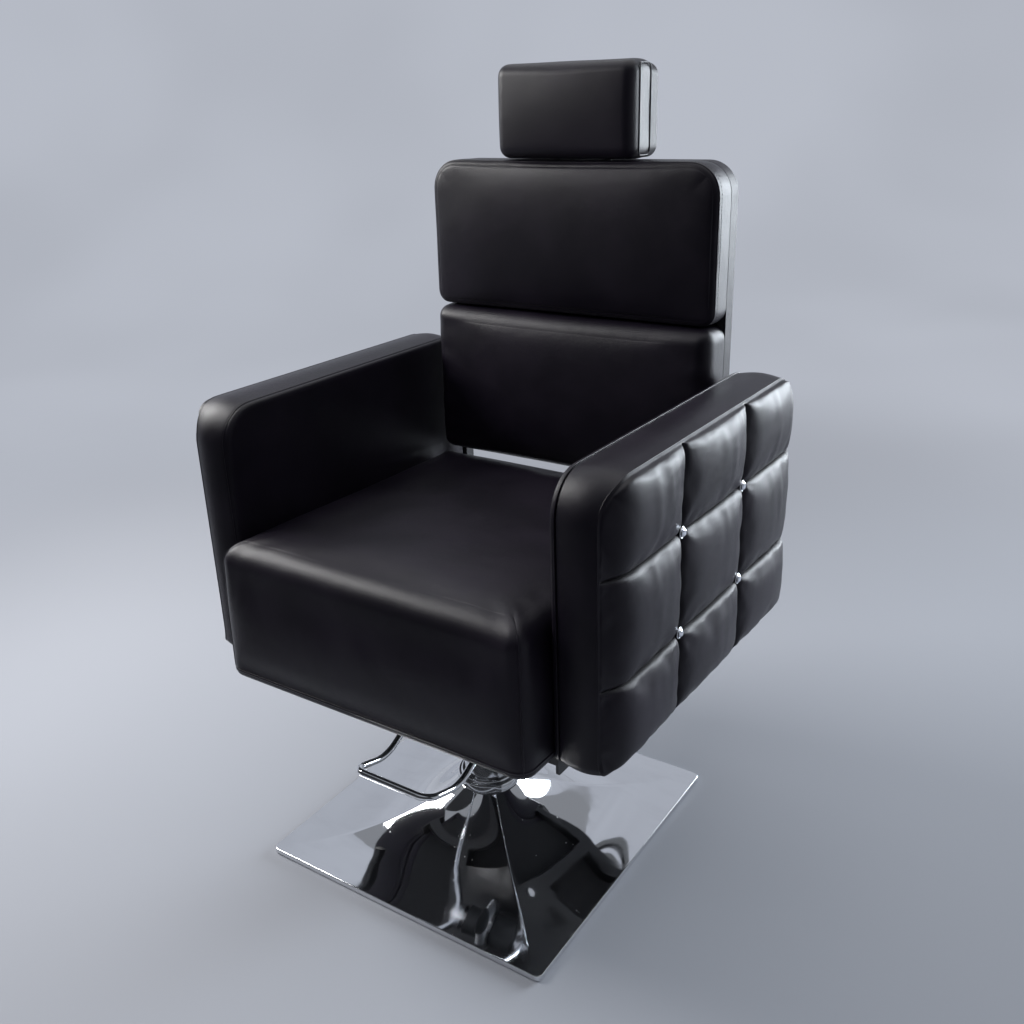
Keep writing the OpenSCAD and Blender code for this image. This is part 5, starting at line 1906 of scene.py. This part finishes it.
@dataclass
class Cushion:
    """Sizes of one cushion of the back or the headrest, in the back's own axes.

    Cells are the face grid's cells across and up, steps the rings of its rolled edge. A cushion
    with a soft edge is crowned over that edge too.
    """

    name: str
    node: str
    width: float
    high: float
    foot: float
    depth: float
    radii: tuple[float, float, float, float]
    edge: float
    crown: float
    face: float = -0.010
    board: float = 0.009
    wrap: float = 0.009
    bevel: float = 0.0008
    draw: float = 0.0016
    belly: float = 0.0012
    steps: int = 12
    wall_steps: int = 10
    cells: tuple[int, int] = (56, 36)
    soft_edge: bool = True
    corner_hold: float = 0.05

    @property
    def wall(self) -> float:
        """Height at which the wall ends and the rolled edge begins."""
        return self.depth + self.board - self.edge

    def pad(self, lift: Lift) -> Pad:
        """The cushion's stuffed form: boxed walls, rolled front edges and a crowned face.

        Args:
            lift: the height of its crown at shares of its width and height.

        Returns:
            The form.
        """
        e = self.edge
        rings = (
            foot_rings(self.wrap, self.board, self.bevel)
            + wall_rings(self.bevel, self.wall, self.draw, self.belly, self.wall_steps)
            + rolled(e, e, e, self.wall, e, self.steps)
        )
        return Pad(
            width=self.width,
            height=self.high,
            radii=self.radii,
            rings=np.array(rings),
            s_lines=shares_between([0, 1], self.cells[0]),
            t_lines=shares_between([0, 1], self.cells[1]),
            lift=lift,
            axes=BACK_AXES.within((0.0, self.face, self.foot + self.high / 2), UP_THE_BACK),
            whole=self.soft_edge,
            upright=len(rings) - self.steps - 1,
        )

    def settled(self, pad: Pad, stuffing: Stuffing) -> tuple[bpy.types.Object, Settling]:
        """Makes the cushion, sewn down round its board.

        Its corners are stuffed tight: they are held by exp(-(distance / corner_hold)^2) of the
        nearest corner.

        Args:
            pad: its form.
            stuffing: how its cover settles.

        Returns:
            The cushion, and how its points moved.
        """
        obj = pad.soft_object(self.name)
        local = np.abs(pad.axes.local(coordinates(obj.data)))
        inset = np.maximum(np.array([pad.width, pad.height]) / 2 - local[:, :2], 0.0)
        held = np.exp(-((inset / self.corner_hold) ** 2).sum(1))
        sewn_rings = 5
        held[: sewn_rings * len(pad.rim()[0])] = 1.0
        held[-1] = 1.0
        return obj, stuffing.settle(obj, held)


@dataclass
class Back(SubAssembly):
    """Two cushions on a steel frame under a covered rear shell."""

    lower: Cushion = field(
        default_factory=lambda: Cushion(
            name="lower_back_cushion",
            node="lower_back_pad",
            width=0.502,
            high=0.251,
            foot=0.156,
            depth=0.046,
            radii=(0.020,) * 4,
            edge=0.022,
            crown=0.013,
        )
    )
    upper: Cushion = field(
        default_factory=lambda: Cushion(
            name="upper_back_cushion",
            node="upper_back_pad",
            width=0.502,
            high=0.228,
            foot=0.411,
            depth=0.036,
            radii=(0.020, 0.020, 0.046, 0.046),
            edge=0.008,
            crown=0.012,
            soft_edge=False,
        )
    )
    gather: float = 0.0009
    gather_reach: float = 0.06
    gather_waves: float = 6.5
    low: float = 0.0012
    low_at: tuple[float, float] = (0.3, 0.4)
    low_size: tuple[float, float] = (0.15, 0.25)
    piping: float = 0.0015
    piping_inset: float = 0.0012
    piping_above: float = 0.003
    stitches_below: float = 0.004

    def lower_lift(self, s: Array, t: Array) -> Array:
        """Crown * (bow s * bow t)^0.5 * (1 + 0.12 t), fuller at the top, with gathers at the sides.

        Args:
            s: shares of the width.
            t: shares of the height, 0 at the foot.

        Returns:
            How far the cover stands over its flat form.
        """
        side = hump(s - 0.97, self.gather_reach) + hump(s - 0.03, self.gather_reach)
        gathers = self.gather * np.sin(2 * np.pi * self.gather_waves * t + 2.0 * s) * side
        return self.lower.crown * dome(s, t, 0.5) * (1 + 0.12 * t) + gathers * bow(t)

    def upper_lift(self, s: Array, t: Array) -> Array:
        """A flat crown: crown * (bow s * bow t)^0.45, with a slight low on one side."""
        body = (bow(s) * bow(t)) ** 0.45
        return self.upper.crown * body - self.low * well(s, t, self.low_at, self.low_size)

    def build_cushion(
        self, cushion: Cushion, lift: Lift, stuffing: Stuffing
    ) -> tuple[Pad, Settling]:
        """Adds one cushion, settled over its foam.

        Args:
            cushion: its sizes.
            lift: its crown.
            stuffing: how its cover settles.

        Returns:
            Its form, and how its points moved.
        """
        pad = cushion.pad(lift)
        obj, settling = cushion.settled(pad, stuffing)
        self.add(obj, "back", HIDE, "upholstery", [cushion.node])
        return pad, settling

    def build(self) -> None:
        """Everything on the body back."""
        self.build_cushion(self.lower, self.lower_lift, Stuffing(cap=0.004, ease=5))
        upper, settling = self.build_cushion(
            self.upper, self.upper_lift, Stuffing(pressure=2.0, cap=0.003, ease=14)
        )
        line, out = upper.path(self.piping_inset, self.upper.wall + self.piping_above)
        piping = tube_mesh(settling.carried(line), out, self.piping)
        self.trim("upper_back_piping", "back", piping)
        line, out = upper.path(0.0, self.upper.wall - self.stitches_below)
        stitches = Stitching().mesh(settling.carried(line), out)
        self.trim("upper_back_stitches", "back", stitches, SEWING)
        self.paint(SHELL_HIDE, "back_shell")
        self.paint(PLY, "upper_back_board")
        self.paint(UNDERCLOTH, "lower_back_board")
        self.paint(BLACK_PAINT, "back_uprights", "torque_tube", "back_crossbars")
        self.paint(BLACK_PAINT, "strut_lug", "headrest_guides")


@dataclass
class Headrest(SubAssembly):
    """Box headrest on two chromed posts."""

    cushion: Cushion = field(
        default_factory=lambda: Cushion(
            name="headrest_cushion",
            node="headrest_pad",
            width=0.238,
            high=0.135,
            foot=0.6415,
            depth=0.044,
            radii=(0.018,) * 4,
            edge=0.017,
            crown=0.010,
            face=-0.007,
            wrap=0.008,
            cells=(44, 30),
        )
    )
    piping: float = 0.0011
    piping_proud: float = 0.0004
    seam_rear: float = 0.003
    seam_tuck: float = 0.006

    def lift(self, s: Array, t: Array) -> Array:
        """Crown * (bow s * bow t)^0.5."""
        return self.cushion.crown * dome(s, t, 0.5)

    def cap_seam(self, pad: Pad, s: float) -> Array:
        """Closed seam round an end cap: up its front edge, back over the top, down and forward.

        The four runs are joined and evened out 6 times with their neighbours, which rounds the
        corners. Near both corners of the pad the seam is tucked in, as the pad's own plan is round.

        Args:
            pad: the headrest's form.
            s: 0 for one end, 1 for the other.

        Returns:
            The seam's points in the row frame.
        """
        front, rear, tall, deep = self.cushion.wall, self.seam_rear, 24, 14
        up = np.linspace(0.0, 1.0, tall)
        back = np.linspace(front, rear, deep + 2)[1:-1]
        t = np.concatenate([up, np.ones(deep), up[::-1], np.zeros(deep)])
        line = pad.points_at(np.full(len(t), s), t, np.zeros(5))
        line[:, 2] = np.concatenate([np.full(tall, front), back, np.full(tall, rear), back[::-1]])
        for _ in range(6):
            line = (np.roll(line, 1, 0) + 2 * line + np.roll(line, -1, 0)) / 4
        end = np.sign(s - 0.5)
        inset = 1 - np.abs(line[:, 1]) / (self.cushion.high / 2)
        line[:, 0] = end * (self.cushion.width / 2 + self.piping_proud)
        line[:, 0] -= end * self.seam_tuck * np.exp(-inset / 0.06)
        return pad.placed(line)

    def build(self) -> None:
        """Everything on the body headrest."""
        pad = self.cushion.pad(self.lift)
        obj, settling = self.cushion.settled(pad, Stuffing(pressure=2.0, cap=0.003, ease=12))
        self.add(obj, "headrest", HIDE, "upholstery", [self.cushion.node])
        parts = []
        for s in (0.0, 1.0):
            line = settling.carried(self.cap_seam(pad, s))
            side = pad.axes.direct(np.repeat([[2 * s - 1, 0.0, 0.0]], len(line), 0))
            parts.append(tube_mesh(line, side, self.piping))
        self.trim("headrest_piping", "headrest", joined(parts))
        self.paint(SHELL_HIDE, "headrest_shell")
        self.paint(PLY, "headrest_board")
        self.paint(BLACK_PAINT, "headrest_bracket")
        self.paint(BRIGHT, "headrest_posts")


@dataclass
class ReclineGear(SubAssembly):
    """Hinges, gas strut and release lever."""

    def build(self) -> None:
        """Steel parts under and behind the seat."""
        self.paint(BLACK_PAINT, "hinge_brackets", "strut_clevis", "lever_brackets")
        self.paint(BLACK_PAINT, "strut_cylinder")
        self.paint(ZINC, "hinge_bolts", "recline_lever")
        self.paint(BRIGHT, "strut_rod")
        self.paint(GRIP, "lever_grip")


# Studio


@dataclass
class Studio:
    """Pale sweep, a dark flag that paints dark reflections, soft lamps and the camera.

    Angles are in degrees. The flag goes once along its ends, measured from the way the camera
    looks, and its rows lie at the given reaches and heights.
    """

    eye: tuple[float, float, float] = (0.872988, -1.122818, 1.168335)
    yaw: float = 35.4105
    pitch: float = 23.5995
    roll: float = -3.4009
    lens: float = 37.28
    sensor: float = 36.0
    sweep_half: float = 9.0
    sweep_near: float = -6.0
    sweep_start: float = 3.0
    sweep_radius: float = 2.5
    sweep_top: float = 7.0
    flag_ends: tuple[float, float] = (-100.0, 40.0)
    flag_reach: tuple[float, ...] = (0.85, 1.4, 2.0, 2.45, 2.6, 2.6, 2.6, 2.6)
    flag_rise: tuple[float, ...] = (0.004, 0.004, 0.004, 0.05, 0.25, 1.0, 1.8, 2.4)
    sky: Colour = (0.80, 0.84, 0.92)
    sky_strength: float = 0.32

    def build_camera(self) -> None:
        """Camera from yaw, pitch and roll: it looks along (-sin y cos p, cos y cos p, -sin p)."""
        y, p, r = (math.radians(v) for v in (self.yaw, self.pitch, self.roll))
        ahead = np.array([-math.sin(y) * math.cos(p), math.cos(y) * math.cos(p), -math.sin(p)])
        level = np.array([math.cos(y), math.sin(y), 0.0])
        rise = np.cross(level, ahead)
        right = math.cos(r) * level + math.sin(r) * rise
        up = -math.sin(r) * level + math.cos(r) * rise
        data = bpy.data.cameras.new("camera")
        data.lens, data.sensor_width = self.lens, self.sensor
        data.clip_start, data.clip_end = 0.05, 60.0
        camera = linked("camera", data)
        camera.matrix_world = pose(right, up, -ahead, self.eye)
        bpy.context.scene.camera = camera

    def sheet(self, name: str, plan: Array, rise: Array, finish: Finish, seen: bool) -> None:
        """Adds a sheet of the stage.

        Args:
            name: its name.
            plan: places (x, y) of its points, rows by columns by 2.
            rise: the height of each row.
            finish: what it wears.
            seen: whether more than reflections see it.
        """
        rows, columns = plan.shape[:2]
        height = np.repeat(rise[:, None], columns, 1)[..., None]
        points = np.concatenate([plan, height], -1).reshape(-1, 3)
        sheet = mesh_object(name, (points, [grid_faces(rows, columns)]))
        sheet.data.materials.append(finish.material())
        sheet.visible_camera = sheet.visible_shadow = sheet.visible_diffuse = seen

    def build_sweep(self) -> None:
        """Floor that curves up into a wall: straight, a quarter circle, straight."""
        q = np.linspace(0, np.pi / 2, 24)
        r, start = self.sweep_radius, self.sweep_start
        run = np.concatenate([[self.sweep_near], start + r * np.sin(q), [start + r]])
        rise = np.concatenate([[0.0], r * (1 - np.cos(q)), [self.sweep_top]])
        x = np.linspace(self.sweep_half, -self.sweep_half, 7)
        yaw = math.radians(self.yaw)
        away = np.array([-math.sin(yaw), math.cos(yaw)])
        across = np.array([math.cos(yaw), math.sin(yaw)])
        plan = run[:, None, None] * away + x[None, :, None] * across
        self.sheet("sweep", plan, rise, SWEEP_PAPER, True)

    def build_flag(self) -> None:
        """Dark cloth in front, laid on the floor and then hung, that only reflections see: it
        paints dark reflections on the hide and chrome.
        """
        q = np.radians(np.linspace(*self.flag_ends, 32) + self.yaw - 90)
        reach = np.array(self.flag_reach)
        plan = reach[:, None, None] * np.stack([np.cos(q), np.sin(q)], -1)[None]
        self.sheet("flag", plan, np.array(self.flag_rise), REFLECTION_FLAG_CLOTH, False)

    def lamp(
        self,
        name: str,
        at: Sequence[float],
        aim: Sequence[float],
        size: tuple[float, float],
        power: float,
        colour: Colour,
        spread: float = 180.0,
    ) -> None:
        """Adds a soft rectangular lamp.

        Args:
            name: its name.
            at: its place.
            aim: the point that it faces.
            size: its width and height.
            power: its power in watts.
            colour: its colour.
            spread: how widely the grid in front of it lets light out.
        """
        data = bpy.data.lights.new(name, "AREA")
        data.shape, data.size, data.size_y = "RECTANGLE", size[0], size[1]
        data.energy, data.color, data.spread = power, colour, math.radians(spread)
        lamp = linked(name, data)
        back = normalised(np.array(at, float) - np.array(aim, float))
        side = normalised(np.cross([0.0, 0.0, 1.0], back))
        lamp.matrix_world = pose(side, np.cross(back, side), back, at)
        lamp.visible_camera = False

    def build(self) -> None:
        """Camera, sweep, flag, lamps and world."""
        self.build_camera()
        self.build_sweep()
        self.build_flag()
        self.lamp("key", (-1.8, -0.28, 1.74), (0.0, 0.0, 0.5), (0.9, 0.9), 45.0, (1.0, 0.99, 0.98))
        self.lamp("top", (0.0, 0.8, 2.9), (0.0, 0.0, 0.4), (3.2, 2.6), 28.0, (1.0, 1.0, 1.0))
        at, aim = (1.5, 2.7, 1.05), (0.3, 0.15, 0.72)
        self.lamp("right_window", at, aim, (1.4, 1.7), 22.0, (0.86, 0.93, 1.0), 66.0)
        world = bpy.data.worlds.new("world")
        world.use_nodes = True
        sky = world.node_tree.nodes["Background"].inputs
        sky["Color"].default_value = (*self.sky, 1.0)
        sky["Strength"].default_value = self.sky_strength
        bpy.context.scene.world = world
        bpy.context.scene.view_settings.view_transform = "Standard"


# Assembly


def main() -> None:
    """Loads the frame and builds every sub-assembly in order."""
    logging.basicConfig(level=logging.INFO, format="%(message)s")
    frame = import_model()
    nodes = frame["nodes"]
    for assembly in (
        PumpBase(nodes),
        Pump(nodes),
        Seat(nodes),
        Arm(nodes, side=Side.LEFT),
        Arm(nodes, side=Side.RIGHT),
        Back(nodes),
        Headrest(nodes),
        ReclineGear(nodes),
    ):
        assembly.build()
    Studio().build()


if __name__ == "__main__":
    main()
